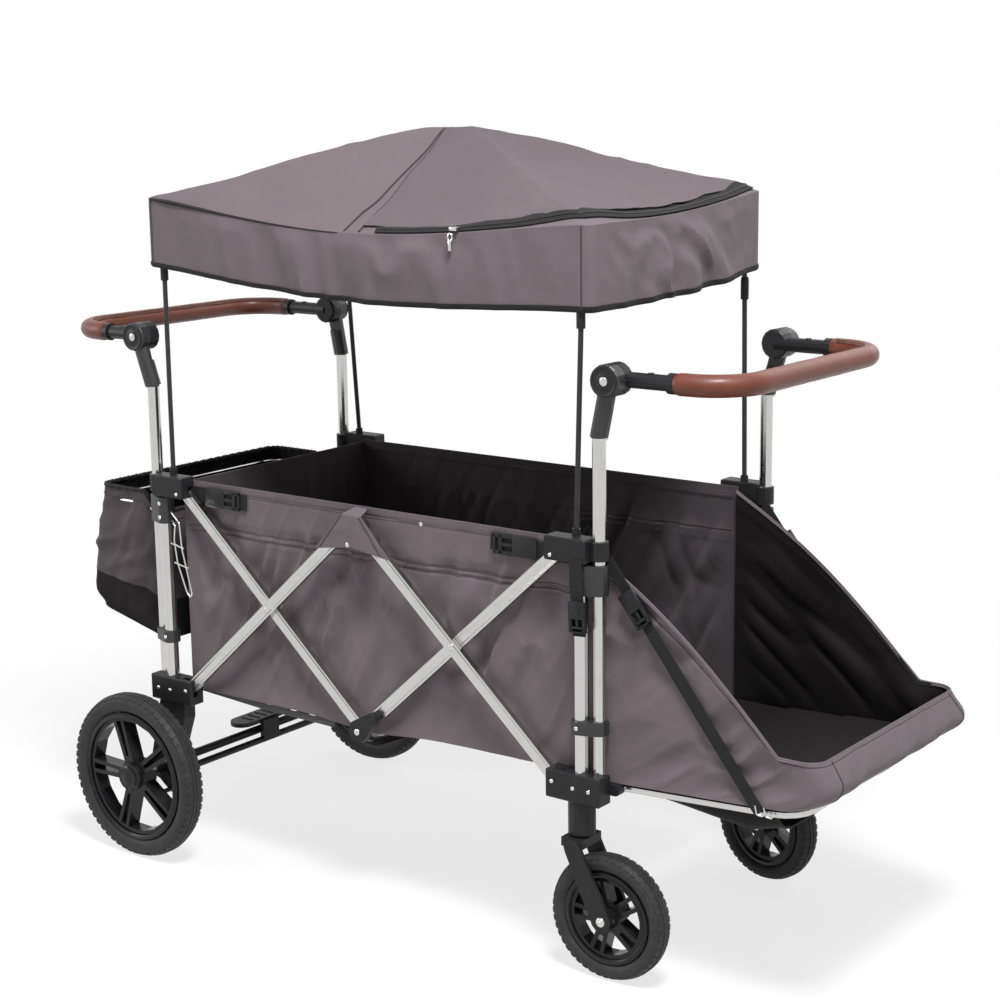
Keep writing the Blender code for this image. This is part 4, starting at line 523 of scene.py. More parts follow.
def leather(name, colour):
    """Smooth leatherette: fine cells, darker creases and a soft gloss."""
    recipe = Recipe(name)
    place = recipe.place("Object")
    cells = recipe.node("ShaderNodeTexVoronoi", {"feature": "DISTANCE_TO_EDGE"},
                        {"Vector": place, "Scale": 620.0})
    cracks = recipe.ramp(cells, (0.0, 0.0), (0.12, 1.0))
    clouds = recipe.noise(place, 30.0, 5.0, 0.6)
    tone = (clouds * 0.9 + cracks * 0.25 - 0.15).clamped()
    recipe.surface(
        Base_Color=recipe.blend(tone, shade(colour, 0.60), shade(colour, 1.35)),
        Roughness=(0.46 - cracks * 0.10 + clouds * 0.06).clamped(),
        Specular_IOR_Level=0.35,
        Coat_Weight=0.15,
        Coat_Roughness=0.25,
        Normal=recipe.bump(cracks + clouds * 0.5, 0.30, 0.0004),
    )
    return recipe.material


def tyre_rubber(name, colour):
    """Dull rubber with a dusty bloom."""
    recipe = Recipe(name)
    place = recipe.place("Object")
    pores = recipe.noise(place, 900.0, 2.0, 0.6)
    bloom = recipe.ramp(recipe.noise(place, 55.0, 6.0, 0.7), (0.46, 0.0), (0.78, 1.0))
    recipe.surface(
        Base_Color=recipe.blend((bloom * 0.7 + pores * 0.1).clamped(), colour, shade(colour, 2.2)),
        Roughness=(bloom * 0.16 + 0.52).clamped(),
        Specular_IOR_Level=0.20,
        Normal=recipe.bump(pores, 0.3, 0.0003),
    )
    return recipe.material


def knitted_net(name, colour):
    """Open knitted net that shows as small dark holes."""
    recipe = Recipe(name)
    columns, rows, _ = recipe.parts(recipe.place("UV"))
    holes = (columns * 2400.0).sine() * (rows * 2400.0).sine()
    recipe.surface(
        Base_Color=recipe.blend((holes * 0.5 + 0.5).clamped(), shade(colour, 0.5), shade(colour, 1.5)),
        Roughness=0.85,
        Specular_IOR_Level=0.12,
        Normal=recipe.bump(holes, 0.6, 0.0006),
    )
    return recipe.material


finishes = {}


def make_finishes():
    tint = colours()
    outer = tuple(tint.outer_cloth)
    lining = tuple(tint.lining)
    metal = tuple(tint.metal)
    plastic = tuple(tint.plastic)
    slope = math.atan2(BAR_HIGH_Z - BAR_LOW_Z, BAR_REACH)
    finishes.update({
        "outer cloth": woven("outer_cloth", outer),
        # The cover is the same outer cloth darkened to 0.84: painted shade
        "painted shade cover cloth": woven("canopy_cover_cloth_painted_shade", shade(outer, 0.84)),
        "lining": woven("lining_cloth", lining, 0.80),
        "black lining": woven("black_lining_cloth", shade(lining, 0.11), 0.70, sheen=0.02),
        "pad": woven("pad_cloth", lining, 0.80, cloth_map="Object"),
        "black pad": woven("black_pad_cloth", shade(lining, 0.16), 0.70, 0.02, "Object"),
        "basket cloth": woven("basket_cloth", shade(outer, 0.50)),
        "net": knitted_net("basket_net", (0.016, 0.014, 0.015)),
        "binding": ribbed_webbing("hem_binding", (0.013, 0.012, 0.013)),
        "webbing": ribbed_webbing("strap_webbing", (0.012, 0.012, 0.013)),
        "grey webbing": ribbed_webbing("grey_webbing", (0.075, 0.068, 0.072)),
        "thread": ribbed_webbing("seam_thread", shade(outer, 0.50)),
        "leather": leather("brown_leather", tuple(tint.leather)),
        "lace": leather("leather_lace", shade(tuple(tint.leather), 0.55)),
        "tube metal": satin_metal("tube_aluminium", metal, 0.16),
        "wire metal": satin_metal("bright_wire", shade(metal, 1.05), 0.20),
        "post metal": tube_with_fittings("post_and_clamps", metal, plastic, CLAMP_HEIGHTS),
        "handle metal": tube_with_fittings(
            "handle_tube_and_sleeve", metal, plastic, HANDLE_SLEEVE_HEIGHTS),
        "black plastic": moulded_plastic("black_nylon", plastic),
        "gloss plastic": moulded_plastic("glossy_black_nylon", shade(plastic, 0.8), 0.24, 0.12),
        "grey plastic": moulded_plastic("dark_grey_nylon", shade(plastic, 1.9), 0.40),
        "tyre": tyre_rubber("tyre_rubber", tuple(tint.rubber)),
    })
    for end_name, end in ENDS.items():
        for run, way in (("lower", -end), ("upper", end)):
            finishes[end_name + run] = channelled_bar(
                end_name + "_" + run + "_bar", metal, end * BAR_REACH / 2, way * slope)


NODE_FINISHES = {
    "front_post": "post metal", "rear_post": "post metal", "front_handle_tube": "handle metal",
    "rear_handle_tube": "handle metal", "footrest_tube": "tube metal", "basket_hanger": "wire metal",
    "front_bracket": "black plastic", "rear_bracket": "black plastic", "front_top_bracket": "black plastic",
    "rear_top_bracket": "black plastic", "middle_knuckle": "black plastic", "caster_fork": "black plastic",
    "rear_axle": "black plastic", "brake_pedal": "black plastic", "front_rim": "gloss plastic",
    "rear_rim": "gloss plastic", "front_canopy_pole": "grey plastic", "rear_canopy_pole": "grey plastic",
    "canopy_frame": "grey plastic", "front_handle_bar": "black plastic", "rear_handle_bar": "black plastic",
    "rear_lower_bar": "rearlower", "rear_upper_bar": "rearupper", "front_lower_bar": "frontlower",
    "front_upper_bar": "frontupper", "floor_board": "lining", "under_pouch": "black lining",
    "footwell_strap": "webbing",
}
MOULDED = ("front_bracket", "rear_bracket", "front_top_bracket", "rear_top_bracket", "middle_knuckle",
           "caster_fork", "brake_pedal", "front_handle_bar", "rear_handle_bar", "front_rim", "rear_rim")


def finish_frame():
    """Puts the finishes on the frame's nodes, and rounds the edges of the moulded ones."""
    for name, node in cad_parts.items():
        for start, finish in NODE_FINISHES.items():
            if name.startswith(start):
                for slot in node.material_slots:
                    slot.material = finishes[finish]
        if name.startswith(MOULDED):
            weld = node.modifiers.new("Weld", "WELD")
            weld.merge_threshold = MERGE_DISTANCE
            bevel = node.modifiers.new("Bevel", "BEVEL")
            bevel.width = 0.0009
            bevel.segments = 2
            bevel.limit_method = "ANGLE"
            bevel.angle_limit = math.radians(38.0)


# Modelling steps

def select_none():
    if bpy.context.object and bpy.context.object.mode != "OBJECT":
        bpy.ops.object.mode_set(mode="OBJECT")
    bpy.ops.object.select_all(action="DESELECT")


def select_only(obj):
    select_none()
    obj.select_set(True)
    bpy.context.view_layer.objects.active = obj
    return obj


def with_modifier(obj, kind, **settings):
    """Adds a modifier, sets it and applies it."""
    select_only(obj)
    modifier = obj.modifiers.new(kind.title(), kind)
    for name, value in settings.items():
        setattr(modifier, name, value)
    bpy.ops.object.modifier_apply(modifier=modifier.name)
    return obj


def edit(obj, *steps):
    """Runs each step, a call without arguments, on the whole mesh in edit mode."""
    select_only(obj)
    bpy.ops.object.mode_set(mode="EDIT")
    bpy.ops.mesh.select_all(action="SELECT")
    for step in steps:
        step()
    bpy.ops.object.mode_set(mode="OBJECT")
    return obj


def merged(obj):
    return edit(obj, lambda: bpy.ops.mesh.remove_doubles(threshold=MERGE_DISTANCE))


def cleaned(obj):
    merged(obj)
    return edit(obj, lambda: bpy.ops.mesh.normals_make_consistent(inside=False))


def flipped(obj):
    return edit(obj, lambda: bpy.ops.mesh.flip_normals())


def joined(objects):
    """Several objects made one, which keeps the first one's materials."""
    select_none()
    for obj in objects:
        obj.select_set(True)
    bpy.context.view_layer.objects.active = objects[0]
    bpy.ops.object.join()
    return objects[0]


def finished(obj, name, body, finish, smooth=35.0, stands_for=()):
    """Names, shifts, finishes and hangs a modelled piece on its body."""
    select_only(obj)
    bpy.ops.object.transform_apply(location=True, rotation=True, scale=True)
    obj.name = name
    obj.data.transform(Matrix.Translation((WAGON_SHIFT, 0.0, 0.0)))
    obj.data.materials.clear()
    obj.data.materials.append(finishes[finish])
    bpy.ops.object.shade_smooth_by_angle(angle=math.radians(smooth))
    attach(obj, body)
    if stands_for:
        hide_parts(*stands_for)
    return obj


def folds_with_scissors(rear_x, keep, *pieces):
    """Gives each piece its own copy of its mesh."""
    for piece in pieces:
        rear_x + WAGON_SHIFT
        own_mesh(piece)


def folds_with_footrest(*pieces):
    """Gives each piece its own copy of its mesh."""
    for piece in pieces:
        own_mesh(piece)


def mesh_points(mesh):
    flat = np.zeros(len(mesh.vertices) * 3)
    mesh.vertices.foreach_get("co", flat)
    return flat.reshape(-1, 3)


def sheet_of(columns, rows, place, facing, thickness=0.0, closed=False):
    """A grid whose points go where place(u, v) puts them, with a cloth map in metres.

    facing is a point: the sheet's outer face is the one that looks away from it.
    """
    bpy.ops.mesh.primitive_grid_add(x_subdivisions=columns, y_subdivisions=rows, size=2.0)
    obj = select_only(bpy.context.object)
    mesh = obj.data
    flat = mesh_points(mesh)
    u = (flat[:, 0] + 1.0) / 2.0
    v = (flat[:, 1] + 1.0) / 2.0
    points = np.stack([np.broadcast_to(part, u.shape) for part in place(u, v)], axis=1)
    write_cloth_map(mesh, u, v, points, columns, rows)
    mesh.vertices.foreach_set("co", points.ravel())
    mesh.update()
    outwardness = sum((face.center - Vector(facing)).dot(face.normal) * face.area
                      for face in mesh.polygons)
    if outwardness < 0.0:
        flipped(obj)
    if closed:
        merged(obj)
    if thickness:
        thickened(obj, thickness)
    return obj


def thickened(obj, thickness):
    return with_modifier(obj, "SOLIDIFY", thickness=thickness, offset=-1.0)


def write_cloth_map(mesh, u, v, points, columns, rows):
    """Maps the cloth flat: metres along the middle row and metres up the middle column."""
    order_u = np.argsort(u + 1e3 * np.round(v, 6), kind="stable").reshape(rows + 1, columns + 1)
    lines = (points[order_u[rows // 2]], points[order_u[:, columns // 2]])
    along, up = (distances_along(line) for line in lines)
    u_metres = np.interp(u, np.linspace(0.0, 1.0, columns + 1), along)
    v_metres = np.interp(v, np.linspace(0.0, 1.0, rows + 1), up)
    corner = np.zeros(len(mesh.loops), dtype=np.int32)
    mesh.loops.foreach_get("vertex_index", corner)
    layer = mesh.uv_layers.active or mesh.uv_layers.new(name="cloth")
    layer.data.foreach_set("uv", np.stack([u_metres[corner], v_metres[corner]], axis=1).ravel())


def distances_along(points):
    """How far along a line of points each one stands."""
    steps = np.linalg.norm(np.diff(points, axis=0), axis=1)
    return np.concatenate([[0.0], np.cumsum(steps)])


def area_of(obj):
    return sum(face.area for face in obj.data.polygons)


def tape(points, outward, width, thickness, steps=None):
    """A flat strip along the points; outward is the way, or the way at each point, that it faces."""
    points = evened(points, steps) if steps else np.array(points, dtype=float)
    outward = np.broadcast_to(np.array(outward, dtype=float), points.shape)
    across = np.cross(outward, np.gradient(points, axis=0))
    across = across / np.linalg.norm(across, axis=1, keepdims=True)

    def place(u, v):
        at = u * (len(points) - 1)
        parts = []
        for k in range(3):
            middle, side = (np.interp(at, np.arange(len(points)), line[:, k]) for line in (points, across))
            parts.append(middle + side * (v - 0.5) * width)
        return parts

    behind = points.mean(axis=0) - outward.mean(axis=0)
    return sheet_of(len(points) - 1, 4, place, behind, thickness)


def tube_along(points, radius, closed=False, sides=3, taper=None):
    """A round tube whose centre follows the points."""
    curve = bpy.data.curves.new("tube", "CURVE")
    curve.dimensions = "3D"
    curve.bevel_depth = radius
    curve.bevel_resolution = sides
    curve.use_fill_caps = not closed
    spline = curve.splines.new("POLY")
    spline.points.add(len(points) - 1)
    for i, point in enumerate(points):
        spline.points[i].co = (*point, 1.0)
        spline.points[i].radius = taper[i] if taper is not None else 1.0
    spline.use_cyclic_u = closed
    obj = bpy.data.objects.new("tube", curve)
    bpy.context.collection.objects.link(obj)
    select_only(obj)
    bpy.ops.object.convert(target="MESH")
    return bpy.context.object


def rounded_block(low, high, edge, segments=2):
    """A block with rounded edges between two corners."""
    low, high = Vector(low), Vector(high)
    bpy.ops.mesh.primitive_cube_add(size=1.0, location=(low + high) / 2)
    obj = select_only(bpy.context.object)
    obj.scale = [abs(part) for part in high - low]
    bpy.ops.object.transform_apply(location=True, rotation=True, scale=True)
    return edit(obj, lambda: bpy.ops.mesh.bevel(offset=edge, segments=segments, affect="EDGES"))


def turned(profile, centre, axis="Y", steps=48, closed=False):
    """A lathe-turned solid. The profile's points are (radius, place along the axis)."""
    bpy.ops.mesh.primitive_plane_add(size=1.0)
    obj = select_only(bpy.context.object)
    mesh = obj.data
    mesh.clear_geometry()
    edges = [(i, i + 1) for i in range(len(profile) - 1)]
    if closed:
        edges.append((len(profile) - 1, 0))
    mesh.from_pydata([(radius, 0.0, place) for radius, place in profile], edges, [])
    edit(obj, lambda: bpy.ops.mesh.spin(
        steps=steps, angle=2 * math.pi, center=(0.0, 0.0, 0.0), axis=(0.0, 0.0, 1.0)))
    cleaned(obj)
    if axis == "Y":
        obj.data.transform(Matrix.Rotation(-math.pi / 2, 4, "X"))
    obj.data.transform(Matrix.Translation(centre))
    return obj


def turned_to_side(profile, centre, side, steps):
    """A lathe-turned piece whose profile stands out to one side."""
    return turned([(radius, side * height) for radius, height in profile], centre, steps=steps)


def dome(x, y, z, radius, side, height=0.0022):
    """A rivet head on a face that looks to one side."""
    profile = [(0.0, 0.0), (radius, 0.0), (radius * 0.92, height * 0.55),
               (radius * 0.55, height * 0.92), (0.0, height)]
    return turned_to_side(profile, (x, y, z), side, 16)


def on_side(points, side):
    """Points given for the wagon's left, on the side asked for."""
    return [(x, side * y, z) for x, y, z in points]


def soft_noise(x, y, seed):
    """Smooth heights from -1 to 1 over a plane whose random cells are one unit wide."""
    cell_x, cell_y = np.floor(x), np.floor(y)
    share_x, share_y = x - cell_x, y - cell_y
    ease_x = share_x ** 3 * (share_x * (share_x * 6 - 15) + 10)
    ease_y = share_y ** 3 * (share_y * (share_y * 6 - 15) + 10)

    def corner(i, j):
        value = np.sin((cell_x + i) * 127.1 + (cell_y + j) * 311.7 + seed * 74.7) * 43758.5453
        return 2 * (value - np.floor(value)) - 1

    low = corner(0, 0) * (1 - ease_x) + corner(1, 0) * ease_x
    high = corner(0, 1) * (1 - ease_x) + corner(1, 1) * ease_x
    return low * (1 - ease_y) + high * ease_y


def creases(x, y, angle, length, width, seed):
    """Long creases with sharp crests that run at an angle, in degrees, across a cloth in metres."""
    turn = math.radians(angle)
    along = x * math.cos(turn) + y * math.sin(turn)
    across = -x * math.sin(turn) + y * math.cos(turn)
    wander = 0.35 * soft_noise(along / length * 0.7, across / length, seed + 5)
    broad = soft_noise(along / length, across / width + wander, seed)
    fine = soft_noise(along / length * 2.1, across / width * 2.3 + wander, seed + 9)
    crest = 1 - 2 * np.abs(soft_noise(along / length * 1.3, across / width * 1.2 - wander, seed + 13))
    return 0.45 * broad + 0.30 * fine + 0.80 * crest


def ease(value):
    value = np.clip(value, 0.0, 1.0)
    return value * value * (3 - 2 * value)


def evened(points, count):
    """The same line through count evenly spaced points."""
    points = np.array(points, dtype=float)
    lengths = distances_along(points)
    at = np.linspace(0.0, lengths[-1], count)
    return np.stack([np.interp(at, lengths, points[:, k]) for k in range(3)], axis=1)


def line_on(surface, first, second, count=60):
    """Points of a straight run between two places (u, v) of a surface."""
    t = np.linspace(0.0, 1.0, count)
    u = first[0] + (second[0] - first[0]) * t
    v = first[1] + (second[1] - first[1]) * t
    return np.stack(surface(u, v), axis=1)


def seam_on(surface, first, second, radius, count=60, sides=3):
    """A thread, welt or bound edge that runs straight between two places of a surface."""
    return tube_along(line_on(surface, first, second, count), radius, sides=sides)


def blown(obj, cap):
    """A pad swollen as cloth under pressure, each point held within cap of where it began."""
    with_modifier(obj, "REMESH", mode="VOXEL", voxel_size=0.006)
    start = mesh_points(obj.data)
    cloth = obj.modifiers.new("Cloth", "CLOTH")
    cloth.settings.use_pressure = True
    cloth.settings.uniform_pressure_force = PAD_PRESSURE
    cloth.settings.effector_weights.gravity = 0.0
    scene = bpy.context.scene
    for step in range(1, 21):
        scene.frame_set(step)
    swollen = mesh_points(obj.evaluated_get(bpy.context.evaluated_depsgraph_get()).data)
    obj.modifiers.remove(cloth)
    scene.frame_set(1)
    move = swollen - start
    length = np.linalg.norm(move, axis=1, keepdims=True)
    move *= np.minimum(1.0, cap / np.maximum(length, 1e-9))
    obj.data.vertices.foreach_set("co", (start + move).ravel())
    obj.data.update()
    return with_modifier(obj, "SUBSURF", levels=1, render_levels=1)


def buckle(middle, along, outward, length, width, depth):
    """A side-release buckle: a hollow housing, a plug with two arms and the bar that the strap passes."""
    half = width / 2
    tall = depth * 0.9
    parts = [
        rounded_block((-length * 0.5, -half, 0.0), (length * 0.06, half, depth), 0.0014),
        rounded_block((length * 0.30, -half * 0.95, 0.0), (length * 0.37, half * 0.95, tall), 0.0010),
        rounded_block((length * 0.45, -half * 0.95, 0.0), (length * 0.50, half * 0.95, tall), 0.0008),
        rounded_block((-length * 0.42, -half * 0.45, depth * 0.85),
                      (-length * 0.06, half * 0.45, depth * 1.12), 0.0006),
    ]
    for side in (-1, 1):
        low, high = sorted((side * half * 0.62, side * half))
        parts.append(rounded_block((length * 0.05, low, 0.0), (length * 0.50, high, tall), 0.0008))
    parts.append(rounded_block(
        (length * 0.05, -half * 0.16, 0.0), (length * 0.32, half * 0.16, depth * 0.8), 0.0008))
    obj = joined(parts)
    forward = Vector(along).normalized()
    out = Vector(outward).normalized()
    turn = Matrix((forward, out.cross(forward), out)).transposed().to_4x4()
    obj.data.transform(Matrix.Translation(middle) @ turn)
    return obj


# Canopy

def canopy_edge():
    """The canopy's rounded rectangle: shares along it, and rows of x, y, mid-side and mid-end share."""
    radius = CANOPY_CORNER_RADIUS
    width = CANOPY_HALF_WIDTH
    corners = [
        ((CANOPY_FRONT_X - radius, -width + radius), -90.0),
        ((CANOPY_FRONT_X - radius, width - radius), 0.0),
        ((CANOPY_REAR_X + radius, width - radius), 90.0),
        ((CANOPY_REAR_X + radius, -width + radius), 180.0),
    ]
    rows = []
    for i, (centre, start) in enumerate(corners):
        for step in range(7):
            angle = math.radians(start + 15.0 * step)
            rows.append((centre[0] + radius * math.cos(angle), centre[1] + radius * math.sin(angle),
                         0.0, 0.0))
        here = Vector(rows[-1][:2])
        next_centre, next_start = corners[(i + 1) % 4]
        angle = math.radians(next_start)
        there = Vector((next_centre[0] + radius * math.cos(angle),
                        next_centre[1] + radius * math.sin(angle)))
        for step in range(1, 40):
            share = step / 40
            point = here.lerp(there, share)
            middle = math.sin(math.pi * share)
            rows.append((point.x, point.y, middle if i % 2 else 0.0, 0.0 if i % 2 else middle))
    rows.append(rows[0])
    rows = np.array(rows)
    lengths = distances_along(rows[:, :2])
    return lengths / lengths[-1], rows


CANOPY_RING = canopy_edge()


def lengthwise(x, ends):
    """A size of the canopy that changes evenly from its rear edge to its front edge."""
    share = (x - CANOPY_REAR_X) / (CANOPY_FRONT_X - CANOPY_REAR_X)
    return ends["rear"] + (ends["front"] - ends["rear"]) * share


def rim_share(x, side):
    """Share round the canopy at which its left or right edge stands at x."""
    shares, rows = CANOPY_RING
    on_edge = np.flatnonzero(side * rows[1:, 1] > CANOPY_HALF_WIDTH - 1e-6) + 1
    order = on_edge[np.argsort(rows[on_edge, 0])]
    return float(np.interp(x, rows[order, 0], shares[order]))


def canopy_rim(s):
    """x, y, rim height, mid-side share and mid-end share at a share s round the canopy."""
    shares, rows = CANOPY_RING
    x, y, side, end = (np.interp(s % 1.0, shares, rows[:, k]) for k in range(4))
    z = lengthwise(x, CANOPY_CORNER_Z) - CANOPY_SIDE_SAG * side ** 1.2 - CANOPY_END_SAG * end ** 1.2
    z += CANOPY_SKEW * ease(x / CANOPY_FRONT_X) * (y / CANOPY_HALF_WIDTH + 1) / 2
    return x, y, z, side, end


def zip_share(s):
    """How far down the roof the zip runs: near the rim, but cutting the front corners."""
    turn = (s + 0.5) % 1.0 - 0.5
    near_corner = np.exp(-((turn - 0.005) / 0.028) ** 2)
    far_corner = np.exp(-((turn - 0.176) / 0.028) ** 2)
    return 0.986 - 0.042 * near_corner - 0.016 * far_corner


def roof_point(s, t, lift=0.0):
    """A point of the roof: t is 0 on its short ridge and 1 at the rim."""
    x, y, rim, side, end = canopy_rim(s)
    blunt = CANOPY_PEAK_BLUNTNESS
    slope = (np.sqrt(t * t + blunt * blunt) - blunt) / (math.sqrt(1 + blunt * blunt) - blunt)
    z = CANOPY_PEAK_Z + (rim - CANOPY_PEAK_Z) * slope
    z = z - CANOPY_PANEL_SAG * (side + end) * 4 * t * (1 - t)
    ridge = np.interp(x, (CANOPY_REAR_X, CANOPY_FRONT_X), CANOPY_RIDGE)
    wide = ridge + (x - ridge) * t
    deep = y * t
    calm = ease(t / 0.2) * (1 - ease((t - 0.90) / 0.10))
    rough = (creases(wide, deep, 35.0, 0.22, 0.075, 3) * 0.5
             + creases(wide, deep, -50.0, 0.17, 0.06, 8) * 0.3)
    z = z + sizes().wrinkle_depth * 0.75 * calm * rough + lift
    return wide, deep, z


def skirt_point(s, t, lift=0.0):
    """A point of the skirt: t is 0 at the rim and 1 at the hem."""
    x, y, rim, side, end = canopy_rim(s)
    drop = (lengthwise(x, CANOPY_SKIRT) - CANOPY_HEM_RISE * side) * t
    out_x, out_y = x, y * 2.0
    length = np.hypot(out_x, out_y)
    along = s * CANOPY_ROUND
    hang = ease(t / 0.25)
    front = end * ease(x / 0.2)
    push = hang * sizes().wrinkle_depth * (
        (side + end) * creases(along, drop, 82.0, 0.20, 0.060, 21)
        + front * creases(along, drop, 50.0, 0.10, 0.040, 33))
    push = push + 0.003 * np.sin(np.pi * t) * (side + end)
    # The rear handle swings up just behind the rear skirt
    free = ease((x - CANOPY_REAR_X) / 0.10)
    push = np.minimum(push, -0.0035 + 0.0200 * free) + lift
    drop = drop - 0.004 * t * front * soft_noise(along / 0.06, np.zeros_like(along), 4)
    return x + out_x / length * push, y + out_y / length * push, rim - drop


def make_canopy():
    """Roof and skirt in one sheet, the trims sewn to it, its ribs, the zip's puller and the sleeves."""
    cloth, area = make_canopy_cloth()
    trims = [make_canopy_cover(), make_zip_tape(), make_zip_coil(), make_canopy_hem(),
             make_roof_shadow_piping(), make_canopy_seams()]
    folds_with_scissors(CANOPY_REAR_X, CANOPY_KEEP, cloth, *trims)
    make_canopy_ribs()
    make_zip_puller()
    make_pole_sleeves()


def make_canopy_cloth():
    """The roof and skirt, and the area of their one sheet."""
    def roof_and_skirt(u, v):
        roof = roof_point(u, np.clip(v / CANOPY_ROOF_SHARE, 1e-4, 1.0))
        skirt = skirt_point(u, np.clip((v - CANOPY_ROOF_SHARE) / (1 - CANOPY_ROOF_SHARE), 0.0, 1.0))
        return [np.where(v <= CANOPY_ROOF_SHARE, a, b) for a, b in zip(roof, skirt)]

    cloth = sheet_of(300, 66, roof_and_skirt, CANOPY_INSIDE, closed=True)
    area = area_of(cloth)
    cloth = thickened(cloth, sizes().cloth_thickness)
    return finished(cloth, "canopy_cloth", "rear_slider", "outer cloth", 40.0, ["canopy"]), area


def zip_ends():
    """Shares round the canopy at which the zip begins, on the right side, and ends, on the left."""
    return rim_share(ZIP_START_X, -1) - 1.0, rim_share(ZIP_START_X, 1)


def make_canopy_cover():
    """The cloth over the front half of the roof, whose edge curls up along the zip, in the outer cloth
    darkened as painted shade.
    """
    near, far = zip_ends()

    def on_cover(u, v):
        s = near + u * (far - near)
        _, _, _, _, end = canopy_rim(s)
        curl = ease((v - 0.86) / 0.14) * (0.0012 + 0.0040 * end * ease(v))
        wave = 0.0016 * ease((v - 0.7) / 0.3) * soft_noise(u * 38, v * 2, 51)
        return roof_point(s, 0.03 + v * (zip_share(s) - 0.038 - 0.03), 0.0022 + curl + wave)

    cover = sheet_of(170, 50, on_cover, CANOPY_INSIDE, 0.0010)
    return finished(cover, "canopy_cover", "rear_slider", "painted shade cover cloth")


def zip_point(u, v):
    """A point of the zip's tape: u runs along it and v across it."""
    near, far = zip_ends()
    s = near + 0.012 + u * (far - near - 0.024)
    return roof_point(s, zip_share(s) - 0.050 + 0.062 * v, 0.0030 + 0.0012 * np.sin(np.pi * v))


def make_zip_tape():
    strip = sheet_of(170, 6, zip_point, CANOPY_INSIDE, 0.0008)
    return finished(strip, "zip_tape", "rear_slider", "binding")


def make_zip_coil():
    coil = seam_on(zip_point, (0.004, 0.62), (0.996, 0.62), 0.0014, 240, 2)
    return finished(coil, "zip_coil", "rear_slider", "black plastic", 60.0)


def make_canopy_hem():
    """The tape bound round the skirt's lower edge."""
    def hem(u, v):
        around = (v - 0.5) * 2
        lift = np.interp(around, (-1.0, -0.2, 0.2, 1.0), (-0.0028, -0.0028, 0.0014, 0.0014))
        up = np.abs(around) * sizes().binding_width / CANOPY_SKIRT["rear"]
        x, y, z = skirt_point(u, 1.0 - up, lift)
        return x, y, z - 0.0014 * np.clip(1 - np.abs(around) / 0.3, 0.0, 1.0)

    binding = sheet_of(300, 6, hem, CANOPY_INSIDE, 0.0010, closed=True)
    return finished(binding, "canopy_hem", "rear_slider", "binding", 60.0)


def make_roof_shadow_piping():
    """Black piping along both sides of the rim behind the zip, thin where it reaches the cover: it paints the
    shadow line under the roof's overhang.
    """
    count = 80
    taper = np.interp(np.linspace(0, 1, count), (0.0, 0.10, 0.45, 1.0), (0.5, 1.0, 0.45, 0.25))
    shadow_piping = []
    for side in SIDES.values():
        rear, front = (rim_share(x, side) for x in SHADOW_PIPING_ENDS_X)
        route = np.stack(roof_point(np.linspace(rear, front, count), 1.0, -0.0010), axis=1)
        shadow_piping.append(tube_along(route, 0.0038, taper=taper))
    return finished(joined(shadow_piping), "roof_shadow_piping", "rear_slider", "binding", 60.0)


def make_canopy_seams():
    """Welts across the middle of the roof and down the skirt's corners."""
    seams = []
    for side in SIDES.values():
        for x in ROOF_SEAMS_X:
            s = rim_share(x, side)
            seams.append(seam_on(lambda u, v: roof_point(u, v, 0.0016), (s, 0.03), (s, 0.99), 0.0014))
        for x in CORNER_SEAMS_X:
            s = rim_share(x, side)
            seams.append(seam_on(
                lambda u, v: skirt_point(u, v, 0.0004), (s, 0.01), (s, 0.97), 0.0011, 30))
    return finished(joined(seams), "canopy_seams", "rear_slider", "thread", 60.0)


def make_canopy_ribs():
    """The frame's own ribs, hub and sockets again, on the same body as the cloth."""
    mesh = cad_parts["canopy_frame"].data.copy()
    mesh.transform(Matrix.Translation((-WAGON_SHIFT, 0.0, 0.0)))
    ribs = bpy.data.objects.new("canopy_ribs", mesh)
    bpy.context.collection.objects.link(ribs)
    ribs = finished(ribs, "canopy_ribs", "rear_slider", "grey plastic", 40.0, ["canopy_frame"])
    folds_with_scissors(CANOPY_REAR_X, CANOPY_KEEP, ribs)


def make_zip_puller():
    """The zip's slider with its ring and tab."""
    spot = roof_point(np.array([rim_share(ZIP_PULLER_X, -1)]), np.array([ZIP_PULLER_SHARE]))
    x, y, z = (float(part[0]) for part in spot)
    ring = [(x - 0.004 * math.sin(a) - 0.004, y - 0.012, z - 0.008 + 0.0055 * math.cos(a))
            for a in np.linspace(0, 2 * math.pi, 17)[:-1]]
    parts = [
        rounded_block((x - 0.007, y - 0.011, z + 0.001), (x + 0.007, y + 0.002, z + 0.007), 0.0015),
        tube_along(ring, 0.0013, closed=True),
        rounded_block((x - 0.0075, y - 0.0132, z - 0.028), (x - 0.0015, y - 0.0108, z - 0.012), 0.0009),
    ]
    puller = finished(joined(parts), "zip_puller", "rear_slider", "wire metal")
    folds_with_scissors(CANOPY_REAR_X, CANOPY_KEEP, puller)


def make_pole_sleeves():
    """Short moulded sleeves below the hem, where each pole enters the canopy."""
    profile = [(0.0030, 0.0), (0.0062, 0.0), (0.0066, 0.002), (0.0066, 0.030), (0.0056, 0.036),
               (0.0030, 0.036)]
    for end_name, end in ENDS.items():
        parts = []
        for side in SIDES.values():
            foot = Vector((end * POLE_FOOT[0], side * POLE_FOOT[1], POLE_FOOT[2]))
            top = Vector(POLE_TOP[end_name])
            top.y *= side
            rim = CANOPY_CORNER_Z[end_name] - CANOPY_SKIRT[end_name]
            share = (rim - 0.024 - foot.z) / (top.z - foot.z)
            parts.append(turned(profile, foot.lerp(top, share), "Z", 20, closed=True))
        finished(joined(parts), end_name + "_pole_sleeves", end_name + "_slider", "black plastic")


# Tub

